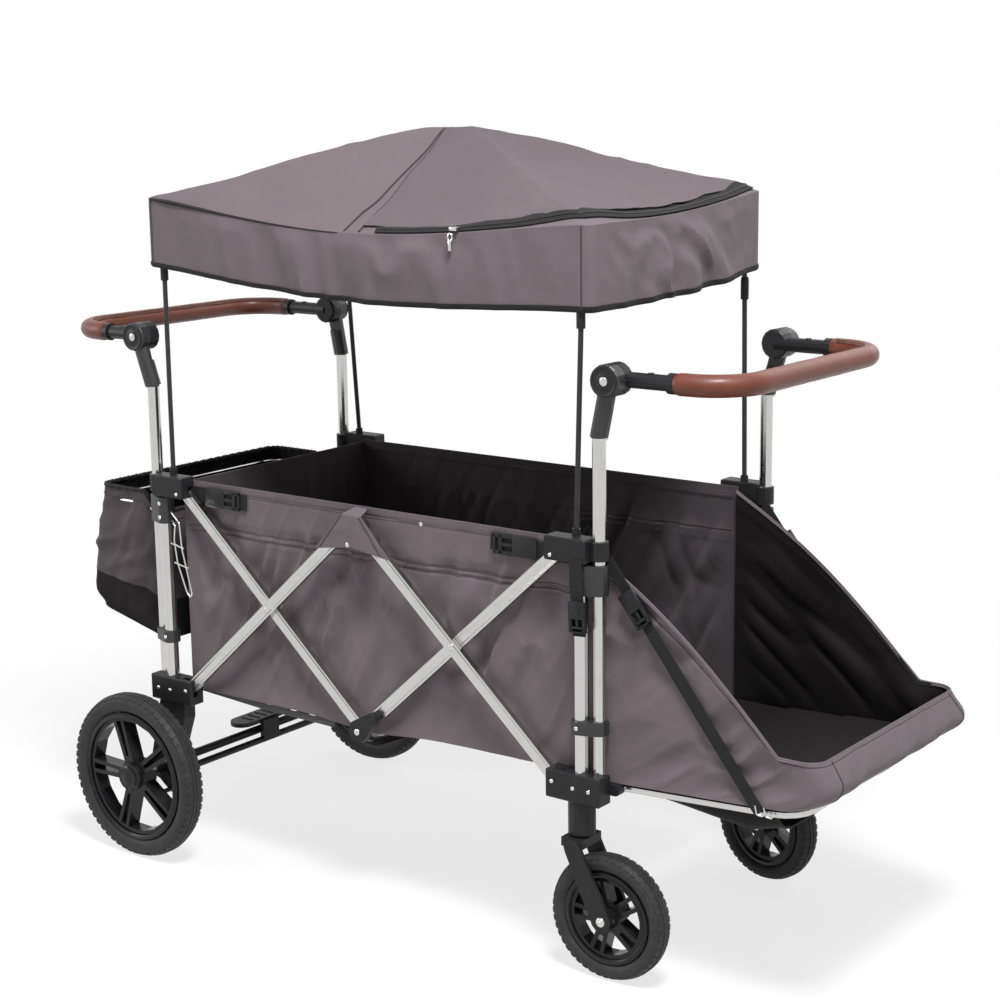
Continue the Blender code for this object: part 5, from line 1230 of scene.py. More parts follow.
def panel_point(x, z, side, gap):
    """A point of a tub wall, whose folds hang from the seam and fan down from the crossings."""
    t = (x - TUB_REAR_X) / (TUB_FRONT_X - TUB_REAR_X)
    height = (z - TUB_BOTTOM_Z) / (TUB_TOP_Z - TUB_BOTTOM_Z)
    ends = ease(t / 0.06) * ease((1 - t) / 0.06)
    belly = np.clip(np.sin(np.pi * np.clip(height, 0.0, 1.0)), 0.0, 1.0) ** 0.7
    lean = (creases(x, z, 64.0, 0.22, 0.038, 40 + side)
            + 0.5 * creases(x, z, 112.0, 0.16, 0.05, 50 + side))
    below = 1 - 0.5 * ease((z - PANEL_SEAM_Z) / 0.02)
    seam = np.exp(-((z - PANEL_SEAM_Z) / 0.0022) ** 2)
    seam = seam + np.exp(-((z - PANEL_SEAM_Z + 0.010) / 0.0022) ** 2)
    seam = seam + np.exp(-((z - TUB_TOP_Z + 0.014) / 0.0020) ** 2)
    push = sizes().wrinkle_depth * ends * belly * below * (lean - 1.1) - 0.0016 * seam
    return x, side * (PANEL_OUTER_Y + np.minimum(push, 0.0012) - gap), z


def tub_rows(u, v):
    """x and z on a tub wall, whose lower edge hangs in the middle."""
    x = TUB_REAR_X + u * (TUB_FRONT_X - TUB_REAR_X)
    bottom = TUB_BOTTOM_Z - 0.008 * (1 - u) + 0.006 * u - 0.010 * np.exp(-(x / 0.09) ** 2)
    return x, bottom + v * (TUB_TOP_Z - bottom)


def make_tub():
    """Both side walls, each with its lining, the flap over its upper hinge and its stitches."""
    for side_name, side in SIDES.items():
        def wall_at(u, v, gap=0.0, side=side):
            return panel_point(*tub_rows(u, v), side, gap)

        wall = sheet_of(220, 110, wall_at, (0.0, 0.0, 0.5))
        wall = finished(thickened(wall, sizes().cloth_thickness), "tub_wall_" + side_name, "rear_frame",
                        "outer cloth", 40.0, ["side_panel_" + side_name])
        lining = sheet_of(160, 72, lambda u, v: wall_at(u, v, 0.0024), (0.0, side, 0.5), LINING_THICKNESS)
        trims = [finished(lining, "tub_lining_" + side_name, "rear_frame", "lining", 40.0)]
        trims.append(make_flap(side_name, side))
        stitches = [seam_on(lambda u, v: wall_at(u, v, gap), (0.01, share), (0.99, share), 0.0006, 200, 1)
                    for share, gap in STITCH_ROWS]
        trims.append(finished(joined(stitches), "tub_stitches_" + side_name, "rear_frame", "thread", 60.0))
        folds_with_scissors(TUB_REAR_X, TUB_KEEP, wall, *trims)


def make_flap(side_name, side):
    """The pointed flap that hangs over the upper hinge, its stitches, and the snaps on flap and wall."""
    def place(u, v):
        half = FLAP_FOOT_HALF_WIDTH + (FLAP_TOP_HALF_WIDTH - FLAP_FOOT_HALF_WIDTH) * v
        across = u * 2 - 1
        z = FLAP_FOOT_Z + v * FLAP_HEIGHT + FLAP_POINT * (1 - np.abs(across)) * (1 - v)
        y = FLAP_Y + 0.0010 * np.sin(np.pi * u) - 0.026 * ease((v - 0.86) / 0.14)
        return across * half, side * (y + 0.0008 * soft_noise(u * 4, v * 4, 12)), z

    flap = finished(sheet_of(40, 30, place, (0.0, 0.0, 0.6), sizes().cloth_thickness),
                    "hinge_flap_" + side_name, "rear_frame", "outer cloth", 40.0)
    stitches = []
    for u in (0.06, 0.90):
        route = line_on(place, (u, 0.02), (u, 0.86), 30) + np.array((0.0, side * 0.0004, 0.0))
        stitches.append(tube_along(route, 0.0008))
    stitches = finished(joined(stitches), "flap_stitches_" + side_name, "rear_frame", "thread", 60.0)
    (flap_snap,), (wall_snap,) = on_side([FLAP_SNAP], side), on_side([WALL_SNAP], side)
    snaps = [dome(*flap_snap, 0.0042, side, 0.0018), dome(*wall_snap, 0.0036, side, 0.0012)]
    snaps = finished(joined(snaps), "snaps_" + side_name, "rear_frame", "wire metal")
    folds_with_scissors(TUB_REAR_X, TUB_KEEP, stitches, snaps)
    return flap


def make_rear_wall():
    """The wall across the tub's rear and its lining."""
    half = PANEL_OUTER_Y - 0.004

    def outer(u, v, gap=0.0):
        y = (u * 2 - 1) * half
        z = TUB_BOTTOM_Z + v * (TUB_TOP_Z - 0.004 - TUB_BOTTOM_Z)
        calm = (1 - np.abs(u * 2 - 1) ** 4) * np.sin(np.pi * v)
        push = sizes().wrinkle_depth * calm * creases(y, z, 85.0, 0.2, 0.05, 61)
        return TUB_REAR_X + 0.0005 + push * 0.6 + gap, y, z

    wall = finished(sheet_of(90, 70, outer, (0.0, 0.0, 0.5), sizes().cloth_thickness),
                    "rear_wall", "rear_frame", "outer cloth", 40.0, ["rear_panel"])
    lining = sheet_of(90, 70, lambda u, v: outer(u, v, 0.003), (-1.0, 0.0, 0.5), LINING_THICKNESS)
    lining = finished(lining, "rear_wall_lining", "rear_frame", "lining", 40.0)


def make_floor_mat():
    """A thin padded mat in four sections that rests on the floor boards."""
    rear, front = TUB_REAR_X + 0.010, TUB_FRONT_X - 0.006
    half = PANEL_OUTER_Y - 0.012

    def top(u, v):
        x = rear + u * (front - rear)
        y = (v * 2 - 1) * half
        section = np.abs(((u * MAT_SECTIONS) % 1.0) - 0.5) * 2
        crown = (1 - section ** 6) * (1 - np.abs(v * 2 - 1) ** 10)
        return x, y, TUB_BOTTOM_Z + 0.0095 + 0.0040 * crown

    mat = thickened(sheet_of(120, 60, top, (0.0, 0.0, 0.0)), 0.0070)
    mat = finished(blown(mat, 0.005), "floor_mat", "rear_frame", "pad", 50.0, ["floor_board"])
    folds_with_scissors(TUB_REAR_X, TUB_KEEP, mat)


def make_hanging_straps():
    """Straps with buckles at the tub's corners and front posts, bands below it and the pull strap."""
    for side_name, side in SIDES.items():
        make_corner_straps(side_name, side)
        make_post_strap(side_name, side)
        band = tape(on_side(FLOOR_BAND, side), (0.0, side, 0.0), 0.011, 0.0012, steps=24)
        band = finished(band, "floor_band_" + side_name, "rear_frame", "grey webbing")
        folds_with_scissors(TUB_REAR_X, TUB_KEEP, band)
    make_pull_strap()


def make_corner_straps(side_name, side):
    """A strap with its buckle along the rim at each end of one wall."""
    outward = (0.0, side, 0.0)
    y, z = side * CORNER_STRAP_Y, CORNER_STRAP_Z
    for body, (x, rear, front) in CORNER_STRAPS.items():
        band = tape([(rear, y, z + 0.002), (front, y, z - 0.002)], outward, 0.025, 0.0010, steps=16)
        finished(band, body + "_corner_strap_" + side_name, body, "webbing")
        inward = (1.0 if x < 0 else -1.0, 0.0, 0.0)
        clasp = buckle((x, y + side * 0.0003, z), inward, outward, 0.080, 0.032, 0.0032)
        finished(clasp, body + "_corner_buckle_" + side_name, body, "black plastic")


def make_post_strap(side_name, side):
    """The short strap and buckle that hang on a front post."""
    outward = (0.0, side, 0.0)
    drop = tape(on_side(POST_STRAP, side), outward, 0.022, 0.0012, steps=16)
    finished(drop, "post_strap_" + side_name, "front_frame", "webbing")
    (place,) = on_side([POST_BUCKLE], side)
    clasp = buckle(place, (0.05, 0.0, -1.0), outward, 0.046, 0.029, 0.0065)
    finished(clasp, "post_buckle_" + side_name, "front_frame", "black plastic")


def make_pull_strap():
    """The strap below the tub's middle, by which it is pulled up to fold."""
    sag = [(0.0, y, 0.266 - 0.010 * math.cos(math.pi * y / 0.46)) for y in np.linspace(-0.226, 0.226, 40)]
    pull = tape(sag, (0.0, 0.0, 1.0), 0.026, 0.0016)
    pull = finished(pull, "folding_pull_strap", "rear_frame", "grey webbing")
    folds_with_scissors(TUB_REAR_X, TUB_KEEP, pull)


# Footwell

def footwell_floor(x):
    return TUB_BOTTOM_Z + np.maximum(x - FOOTWELL_FLOOR_BREAK_X, 0.0) * FOOTWELL_FLOOR_SLOPE


def footwell_rim(x):
    t = np.clip((x - FOOTWELL_REAR_X) / (FOOTWELL_BREAK_X - FOOTWELL_REAR_X), 0.0, 1.0)
    straight = FOOTWELL_RIM_REAR_Z + (FOOTWELL_LIP_Z - FOOTWELL_RIM_REAR_Z) * t
    return straight + FOOTWELL_RIM_BOW * np.sin(np.pi * t)


def footwell_front(height):
    """How far forward the front wall stands at a share of its height."""
    height = np.clip(height, 0.0, 1.0)
    bulge = FOOTWELL_BULGE * np.sin(np.pi * height ** 0.75)
    return FOOTWELL_LIP_X + bulge - FOOTWELL_UNDERCUT * (1 - height) ** 4


def footwell_section(u, v, gap):
    """x and y along the open U at height v, from the right wall's rear round the lip to the left's."""
    half = FOOTWELL_HALF_WIDTH - gap
    radius = FOOTWELL_CORNER - gap
    straight = footwell_front(v) - gap - FOOTWELL_REAR_X - radius
    bend = math.pi / 2 * radius
    front = 2 * (half - radius)
    d = u * (2 * straight + 2 * bend + front)
    angle_one = np.clip((d - straight) / bend, 0.0, 1.0) * math.pi / 2
    angle_two = np.clip((d - straight - bend - front) / bend, 0.0, 1.0) * math.pi / 2
    x = FOOTWELL_REAR_X + np.minimum(d, straight) + radius * np.sin(angle_one)
    x = x - radius * (1 - np.cos(angle_two)) - np.maximum(d - straight - 2 * bend - front, 0.0)
    y = -half + radius * (1 - np.cos(angle_one)) + np.clip(d - straight - bend, 0.0, front)
    return x, y + radius * np.sin(angle_two)


def footwell_wall(u, v, gap=0.0):
    """A point of the footwell's wall, whose folds fan down from the front posts."""
    x, y = footwell_section(u, v, gap)
    floor = footwell_floor(x) + gap * 0.5
    z = floor + v * (footwell_rim(x) - floor)
    face = ease((x - FOOTWELL_LIP_X + 0.06) / 0.05)
    calm = np.sin(np.pi * np.clip(v, 0, 1)) ** 0.7 * ease((x - FOOTWELL_REAR_X) / 0.05)
    folds = creases(u * FOOTWELL_ROUND, z, 38.0, 0.20, 0.044, 81) - 0.9
    push = sizes().wrinkle_depth * calm * folds * (1 - 0.5 * face)
    hem = -0.0016 * np.exp(-((v - 0.93) / 0.010) ** 2)
    push = np.minimum(push, 0.0) + hem
    return x + push * face, y + np.sign(y) * push * (1 - face), z


def footwell_base(u, v, lift=0.0, inset=0.002):
    """A point of the footwell's floor, whose front corners are round."""
    reach = FOOTWELL_LIP_X - FOOTWELL_UNDERCUT - inset
    x = FOOTWELL_REAR_X + u * (reach - FOOTWELL_REAR_X)
    corner = np.maximum(x - (reach - FOOTWELL_CORNER), 0.0)
    rounding = np.sqrt(np.maximum(FOOTWELL_CORNER ** 2 - corner ** 2, 0.0))
    half = FOOTWELL_HALF_WIDTH - inset - FOOTWELL_CORNER + rounding
    return x, (v * 2 - 1) * half, footwell_floor(x) + lift


def footwell_edge(u, v):
    """A point of the bound edge along the footwell's rim."""
    around = (v - 0.5) * 2
    x, y, z = footwell_wall(u, np.ones_like(v), 0.0021 + 0.0026 * around)
    return x, y, z - 0.005 * np.abs(around) ** 2 + 0.0012


def make_footwell():
    """Outer cloth, black lining, base, pad, bound edge and corner seams of the open footwell."""
    outer = sheet_of(280, 70, footwell_wall, FOOTWELL_MIDDLE)
    outer = finished(thickened(outer, sizes().cloth_thickness), "footwell_outer", "front_frame",
                     "outer cloth", 40.0, ["footwell"])
    lining = sheet_of(240, 60, lambda u, v: footwell_wall(u, v, 0.0036), FOOTWELL_MIDDLE)
    lining = thickened(flipped(lining), 0.0010)
    lining = finished(lining, "footwell_lining", "front_frame", "black lining", 40.0)
    under = finished(sheet_of(60, 60, footwell_base, (0.6, 0.0, 1.0), 0.0016),
                     "footwell_base", "front_frame", "black lining")
    pad = sheet_of(70, 70, lambda u, v: footwell_base(u, v, 0.0095, 0.012), (0.6, 0.0, 0.0))
    pad = blown(thickened(pad, 0.0060), 0.004)
    pad = finished(pad, "footwell_pad", "front_frame", "black pad", 50.0)
    rim = finished(sheet_of(280, 8, footwell_edge, (0.6, 0.0, 0.2), 0.0012),
                   "footwell_edge", "front_frame", "outer cloth", 60.0)
    trims = [lining, under, rim, make_footwell_seams()]
    folds_with_footrest(outer, pad, *trims)


def make_footwell_seams():
    """The stitches below the rim and the welts at the two front corners."""
    seams = [seam_on(lambda u, v: footwell_wall(u, v, -0.0003), (0.003, 0.93), (0.997, 0.93), 0.0008, 260)]
    for corner in (0.345, 0.655):
        seams.append(seam_on(
            lambda u, v: footwell_wall(u, v, -0.0004), (corner, 0.02), (corner, 0.98), 0.0011, 40))
    return finished(joined(seams), "footwell_seams", "front_frame", "thread", 60.0)


def make_footwell_straps():
    """A long adjusting strap on each side of the footwell, with its buckle, loose tail and wire hooks."""
    top = Vector((STRAP_TOP[0] - 0.018, 0.0, STRAP_TOP[1] + 0.020))
    foot = Vector((STRAP_FOOT[0], 0.0, STRAP_FOOT[1]))
    run = foot - top

    def strip(shares, side, lift, sway=0.0):
        """Webbing along a part of the run, bowed out by lift and forward by sway in its middle."""
        points = []
        for k, share in enumerate(np.linspace(*shares, STRAP_POINTS)):
            bow = math.sin(math.pi * k / (STRAP_POINTS - 1))
            point = top + run * share
            points.append((point.x + sway * bow, side * (STRAP_Y + lift * bow), point.z))
        return tape(points, (0.0, side, 0.0), STRAP_WIDTH, 0.0014)

    for side_name, side in SIDES.items():
        straps = joined([strip((0.0, 1.0), side, 0.0010), strip((0.26, 0.86), side, 0.0050, 0.006)])
        straps = finished(straps, "footwell_webbing_" + side_name, "front_frame", "webbing", 40.0,
                          ["footwell_strap_" + side_name])
        spot = top + run * 0.20
        clasp = buckle((spot.x, side * (STRAP_Y + 0.0014), spot.z), run, (0.0, side, 0.0),
                       0.056, 0.028, 0.0068)
        clasp = finished(clasp, "footwell_buckle_" + side_name, "front_frame", "black plastic")
        folds_with_footrest(straps, clasp, make_strap_hooks(side_name, side, foot))


def make_strap_hooks(side_name, side, foot):
    """Two bent wires that hold the strap's foot to the footrest tube."""
    hooks = []
    for offset in (-0.007, 0.007):
        start = foot + Vector((offset, 0.0, 0.010))
        bends = ((0.0, 0.0, 0.0), (0.004, 0.002, -0.012), (0.012, -0.001, -0.014), (0.014, -0.002, -0.006))
        loop = on_side([(start.x + x, STRAP_Y + y, start.z + z) for x, y, z in bends], side)
        hooks.append(tube_along(evened(loop, 14), 0.0013))
    return finished(joined(hooks), "strap_hooks_" + side_name, "front_frame", "wire metal", 60.0)


def make_pouch():
    """The cloth sling that hangs from the footrest tube."""
    low, high = POUCH

    def sling(u, v):
        x = low + u * (high - low)
        across = v * 2 - 1
        drop = np.interp(u, (0.0, 0.75, 1.0), (0.024, 0.052, 0.036)) * (1 - np.abs(across) ** 14)
        sag = 0.0025 * soft_noise(u * 4, v * 6, 31)
        edge = np.interp(u, (0.0, 1.0), (0.2975, 0.3045))
        return x, across * POUCH_HALF_WIDTH, edge - drop + sag * (1 - across ** 2)

    pouch = sheet_of(60, 90, sling, (0.6, 0.0, 0.6), 0.0016)
    pouch = finished(pouch, "sling_pouch", "footrest", "black lining", 50.0, ["under_pouch"])
    edges = joined([seam_on(sling, (u, 0.0), (u, 1.0), 0.0022) for u in (0.0, 1.0)])
    edges = finished(edges, "pouch_edges", "footrest", "binding", 60.0)


# Storage basket

def basket_section(u, gap):
    """Points round the basket's rounded rectangle, starting in the middle of its front."""
    half = BASKET_HALF_WIDTH - gap
    front, rear = BASKET_FRONT_X - gap, BASKET_REAR_X + gap
    radius = 0.026 - gap
    corners = [(front - 0.010, half - 0.010, 0.010, 0.0), (rear + radius, half - radius, radius, 90.0),
               (rear + radius, -half + radius, radius, 180.0), (front - 0.010, -half + 0.010, 0.010, 270.0)]
    rows = [(front, 0.0)]
    for x, y, bend, start in corners:
        for step in range(9):
            angle = math.radians(start + 11.25 * step)
            rows.append((x + bend * math.cos(angle), y + bend * math.sin(angle)))
    rows.append((front, 0.0))
    rows = np.array(rows)
    lengths = distances_along(rows)
    lengths /= lengths[-1]
    return np.interp(u, lengths, rows[:, 0]), np.interp(u, lengths, rows[:, 1])


def basket_point(u, v, gap=0.0):
    """A point of the basket's wall, which leans out below its rim and gathers in at the floor."""
    x, y = basket_section(u, gap)
    back = np.clip((BASKET_FRONT_X - x) / (BASKET_FRONT_X - BASKET_REAR_X), 0.0, 1.0)
    floor = BASKET_FLOOR_Z + BASKET_FLOOR_RISE * back + gap
    rim = BASKET_RIM_Z - (BASKET_RIM_Z - BASKET_FRONT_RIM_Z) * ease((1 - back - 0.72) / 0.28)
    z = floor + v * (rim - floor)
    share = np.clip(v, 0.0, 1.0)
    lean = (1 - share) ** 0.8 * (1 - BASKET_ROUNDING * (1 - share) ** 4)
    belly = np.sin(np.pi * share) ** 0.6
    along = u * BASKET_ROUND
    folds = (0.8 * creases(along, z, 70.0, 0.12, 0.040, 101)
             + 0.5 * creases(along, z, 20.0, 0.10, 0.045, 111))
    push = np.minimum(sizes().wrinkle_depth * (folds - 0.7) * belly * ease(back / 0.1), 0.0)
    gather = 0.0010 * np.sin(along / 0.0030) * ease((v - 0.9) / 0.1) * ease(back / 0.1)
    tuck = 0.008 * (1 - ease(v / 0.12))
    x = x - BASKET_FLARE * back * lean + (tuck - push * 0.7) * back + gather * back
    y = y * (1.0 + 0.02 * np.sin(np.pi * share)) + np.sign(y) * (push + gather - tuck)
    return x, y, z


def make_basket():
    """Upper cloth, dark net below it, lining, floor, gathered rim and stitches."""
    split = BASKET_SPLIT
    upper = sheet_of(240, 50, lambda u, v: basket_point(u, split + v * (1 - split)), BASKET_MIDDLE)
    upper = finished(thickened(upper, sizes().cloth_thickness), "basket_cloth", "rear_frame",
                     "basket cloth", 40.0, ["storage_basket"])
    lower = sheet_of(220, 24, lambda u, v: basket_point(u, v * (split + 0.012), 0.0006), BASKET_MIDDLE,
                     0.0010)
    lower = finished(lower, "basket_net", "rear_frame", "net", 40.0)
    lining = sheet_of(200, 60, lambda u, v: basket_point(u, v * 0.995, 0.0035), BASKET_MIDDLE)
    lining = thickened(flipped(lining), LINING_THICKNESS)
    lining = finished(lining, "basket_lining", "rear_frame", "black lining", 40.0)
    floor = make_basket_floor()
    rim = make_basket_rim()
    stitches = seam_on(lambda u, v: basket_point(u, v, -0.0006), (0.0, 0.93), (1.0, 0.93), 0.0008, 260, 1)
    stitches = finished(stitches, "basket_stitches", "rear_frame", "thread", 60.0)


def make_basket_floor():
    """The net across the basket's bottom, which sags in its middle."""
    def floor(u, v):
        x, y, z = basket_point(u, np.zeros_like(v))
        return BASKET_MIDDLE_X + (x - BASKET_MIDDLE_X) * v, y * v, z - 0.004 * (1 - v * v)

    base = sheet_of(120, 16, floor, (BASKET_MIDDLE_X, 0.0, 1.0), closed=True)
    return finished(thickened(base, 0.0016), "basket_floor", "rear_frame", "net", 40.0)


def make_basket_rim():
    """The gathered cord round the basket's mouth."""
    turns = np.linspace(0.0, 1.0, 361)[:-1]
    x, y, z = basket_point(turns, np.ones_like(turns), 0.0016)
    z = z + 0.0007 * np.sin(turns * BASKET_ROUND / 0.0015)
    rim = tube_along(list(zip(x, y, z)), 0.0036, closed=True)
    return finished(rim, "basket_rim", "rear_frame", "binding", 60.0)


# Handles

def grip_route(end):
    """The middle line of a handle's sleeve, from one arm round to the other."""
    centre = (GRIP_REACH - GRIP_BEND, ARM_Y - GRIP_BEND)
    half = [(GRIP_START_X, ARM_Y)]
    for step in range(GRIP_BEND_STEPS + 1):
        angle = math.radians(90.0 * (1 - step / GRIP_BEND_STEPS))
        half.append((centre[0] + GRIP_BEND * math.cos(angle), centre[1] + GRIP_BEND * math.sin(angle)))
    route = half + [(x, -y) for x, y in reversed(half)]
    return evened([(end * x, y, HUB[1]) for x, y in route], GRIP_POINTS)


def make_grips():
    """The leather sleeves and the lace that closes each one along its inner side."""
    for end_name, end in ENDS.items():
        route = grip_route(end)
        make_sleeve(end_name, route)
        make_lace(end_name, route)


def make_sleeve(end_name, route):
    taper = 1 + 0.012 * soft_noise(np.linspace(0, 26, GRIP_POINTS), np.zeros(GRIP_POINTS), 7)
    taper[:4] *= (0.90, 0.95, 0.98, 1.0)
    taper[-4:] *= (1.0, 0.98, 0.95, 0.90)
    sleeve = tube_along(route, GRIP_RADIUS, sides=10, taper=taper)
    finished(sleeve, end_name + "_leather_grip", end_name + "_handle", "leather", 60.0,
             [end_name + "_handle_grip"])


def make_lace(end_name, route):
    """Two thongs that cross over the sleeve's seam."""
    line = evened(route[4:-4], LACE_POINTS)
    inward = np.cross(np.gradient(line, axis=0), (0.0, 0.0, 1.0))
    inward = inward / np.linalg.norm(inward, axis=1, keepdims=True)
    if inward[0, 1] * line[0, 1] > 0:
        inward = -inward
    zigzag = np.where(np.arange(LACE_POINTS) % 2 == 0, 1.0, -1.0)
    angles = np.radians(52.0 + 15.0 * zigzag)[:, None]
    thongs = []
    for angle in (angles, angles[::-1]):
        around = np.cos(angle) * inward + np.sin(angle) * np.array((0.0, 0.0, 1.0))
        thongs.append(tube_along(evened(line + (GRIP_RADIUS + 0.0002) * around, 880), 0.0010, sides=1))
    finished(joined(thongs), end_name + "_grip_lace", end_name + "_handle", "lace", 60.0)


# Wheels

def make_tyre(radius, depth, width, steps):
    """A rounded tyre with a ring on its sidewall, shoulder blocks and a ribbed crown."""
    seat = radius - depth
    half = width / 2
    crown = radius - TREAD_DEPTH
    top = crown + TREAD_DEPTH
    side = [(seat + 0.0004, half * 0.62), (seat + depth * 0.14, half * 0.84),
            (seat + depth * 0.30, half * 0.97), (seat + depth * 0.36, half * 0.965),
            (seat + depth * 0.40, half * 0.995), (seat + depth * 0.62, half * 0.98),
            (seat + depth * 0.80, half * 0.84), (crown - 0.0008, half * 0.60), (crown, half * 0.36),
            (crown, half * 0.32), (top, half * 0.30), (top, half * 0.06), (crown, half * 0.03)]
    profile = side + [(r, -y) for r, y in reversed(side)]
    body = turned(profile, (0.0, 0.0, 0.0), "Y", 96, closed=True)
    pitch = 2 * math.pi * radius / steps
    blocks = []
    for way in (-1, 1):
        block = rounded_block((-pitch * 0.32, -half * 0.26, -0.0030), (pitch * 0.32, half * 0.26, 0.0006),
                              0.0005, 1)
        block.data.transform(Matrix.Translation((0.0, way * half * 0.68, crown - 0.0004 - depth * 0.050))
                             @ Matrix.Rotation(math.radians(-way * 24.0), 4, "X"))
        for step in range(steps):
            copy = block.copy()
            copy.data = block.data.copy()
            bpy.context.collection.objects.link(copy)
            angle = 2 * math.pi * (step + 0.25 * (way + 1)) / steps
            copy.data.transform(Matrix.Rotation(angle, 4, "Y"))
            blocks.append(copy)
        bpy.data.objects.remove(block)
    return joined([body, *blocks])


def make_rim_lips(rim, width):
    """The raised ring on each side of a rim, where the tyre meets it."""
    seat = width * 0.36
    profile = [(rim - 0.0085, seat), (rim - 0.0085, seat + 0.0014), (rim - 0.0060, seat + 0.0030),
               (rim - 0.0008, seat + 0.0014), (rim - 0.0008, seat)]
    return joined([turned([(r, way * y) for r, y in profile], (0.0, 0.0, 0.0), "Y", 96, closed=True)
                   for way in (-1, 1)])


def tyre_middle(tyre_node):
    """Where a tyre's middle stands, in wagon coordinates."""
    return Vector([middle_of(tyre_node, axis) for axis in range(3)]) - Vector((WAGON_SHIFT, 0.0, 0.0))


def wheel_stand(end_name, side_name):
    """Moves a wheel from the origin to its place, turned as its caster stands."""
    turn = CASTER_TURN[side_name] if end_name == "front" else 0.0
    middle = tyre_middle(end_name + "_tyre_" + side_name)
    return Matrix.Translation(middle) @ Matrix.Rotation(math.radians(turn), 4, "Z")


def make_wheel(end_name, side_name):
    """The tyre and rim lips of one wheel."""
    node = end_name + "_tyre_" + side_name
    low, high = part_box(node)
    radius = (high[2] - low[2]) / 2
    depth, width = TYRE_DEPTH[end_name], TYRE_WIDTH[end_name]
    tyre = make_tyre(radius, depth, width, TREAD_BLOCKS[end_name])
    lips = make_rim_lips(radius - depth, width)
    stand = wheel_stand(end_name, side_name)
    tyre.data.transform(stand)
    lips.data.transform(stand)
    body = end_name + "_wheel_" + side_name
    finished(tyre, body + "_tyre", body, "tyre", 32.0, [node])
    finished(lips, body + "_rim_lip", body, "gloss plastic")


def make_hub_cap(side_name, side):
    """The cap over a rear wheel's hub."""
    node = "rear_tyre_" + side_name
    middle = tyre_middle(node)
    low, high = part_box(node)
    cap_y = high[1] if side > 0 else low[1]
    profile = [(0.0, 0.0), (0.021, 0.0), (0.021, 0.0022), (0.0185, 0.0040), (0.0150, 0.0034),
               (0.0120, 0.0044), (0.0, 0.0052)]
    cap = turned_to_side(profile, (middle.x, cap_y + side * CAP_STAND, middle.z), side, 40)
    body = "rear_wheel_" + side_name
    finished(cap, body + "_cap", body, "gloss plastic")


def make_wheels():
    """Tyres, rim lips and the rear wheels' caps."""
    for end_name in ENDS:
        for side_name, side in SIDES.items():
            make_wheel(end_name, side_name)
            if end_name == "rear":
                make_hub_cap(side_name, side)


# Small fittings

def bracket_rivets(end):
    """Rivets on the lower bracket of one end: x, y on the wagon's left, z and radius."""
    screws = [(end * x, BRACKET_OUTER_Y, BRACKET_RIVETS_Z, 0.0034) for x in BRACKET_RIVETS_X]
    return [(end * BAR_REACH, BRACKET_OUTER_Y, BAR_LOW_Z, 0.0036), *screws]


RIVETS = {
    "rear_lower_bars": [(-BAR_REACH / 2, BAR_OUTER_Y + 0.0001, CROSSING_Z, 0.0050)],
    "front_lower_bars": [(BAR_REACH / 2, BAR_OUTER_Y + 0.0001, CROSSING_Z, 0.0050)],
    "front_upper_bars": [(0.0, KNUCKLE_RIVET_Y, BAR_LOW_Z, 0.0055)],
    "front_frame": bracket_rivets(1),
    "rear_frame": bracket_rivets(-1),
    "front_slider": [(BAR_REACH, BRACKET_OUTER_Y, BAR_HIGH_Z, 0.0034)],
    "rear_slider": [(-BAR_REACH, BRACKET_OUTER_Y, BAR_HIGH_Z, 0.0034)],
}


def make_fittings():
    """Rivets, hub faces, screws, the wire handles and the fork bolts."""
    for side_name, side in SIDES.items():
        for body, places in RIVETS.items():
            heads = joined([dome(x, side * y, z, radius, side) for x, y, z, radius in places])
            finished(heads, body + "_rivets_" + side_name, body, "wire metal", 50.0)
        for end_name, end in ENDS.items():
            make_hub_face(end_name, end, side_name, side)
            make_screws(end_name, end, side_name, side)
        make_wire_handle(side_name, side)
        make_fork_bolts(side_name)


def make_hub_face(end_name, end, side_name, side):
    """The stepped face of a handle's hub, with the rivet in its middle."""
    body = end_name + "_frame"
    x, y, z = end * HUB[0], side * HUB_OUTER_Y, HUB[1]
    profile = [(0.0, 0.0), (0.0225, 0.0), (0.0225, 0.0012), (0.0205, 0.0020), (0.0190, 0.0012),
               (0.0120, 0.0010), (0.0105, 0.0018), (0.0, 0.0018)]
    disc = turned_to_side(profile, (x, y, z), side, 48)
    finished(disc, end_name + "_hub_face_" + side_name, body, "black plastic")
    rivet = dome(x, y + side * 0.0016, z, 0.0068, side, 0.0016)
    finished(rivet, end_name + "_hub_rivet_" + side_name, body, "wire metal", 50.0)


def make_screws(end_name, end, side_name, side):
    """The screws of the post's clamps and of the handle's arm."""
    screws = [dome(end * POST_X, side * CLAMP_SCREW_Y, z, 0.0036, side, 0.0014) for z in CLAMP_SCREWS_Z]
    finished(joined(screws), end_name + "_clamp_screws_" + side_name, end_name + "_frame",
             "wire metal", 50.0)
    profile = [(0.0, 0.0), (0.0050, 0.0), (0.0044, 0.0012), (0.0022, 0.0012), (0.0018, 0.0005), (0.0, 0.0005)]
    arm_screw = turned(profile, (end * ARM_SCREW_X, side * ARM_Y, HUB[1] + 0.0112), "Z", 20)
    finished(arm_screw, end_name + "_arm_screw_" + side_name, end_name + "_handle", "gloss plastic")


def make_wire_handle(side_name, side):
    """The bent wire handle and its cross wires beside a rear post."""
    wires = [tube_along(evened(on_side(WIRE_HANDLE, side), 50), 0.0016)]
    for z, rear, front in CROSS_WIRES:
        cross = [(rear, WIRE_Y + 0.0015, z), (front, WIRE_Y + 0.0015, z - 0.006)]
        wires.append(tube_along(on_side(cross, side), 0.0013))
    finished(joined(wires), "wire_latch_" + side_name, "rear_frame", "wire metal", 60.0)


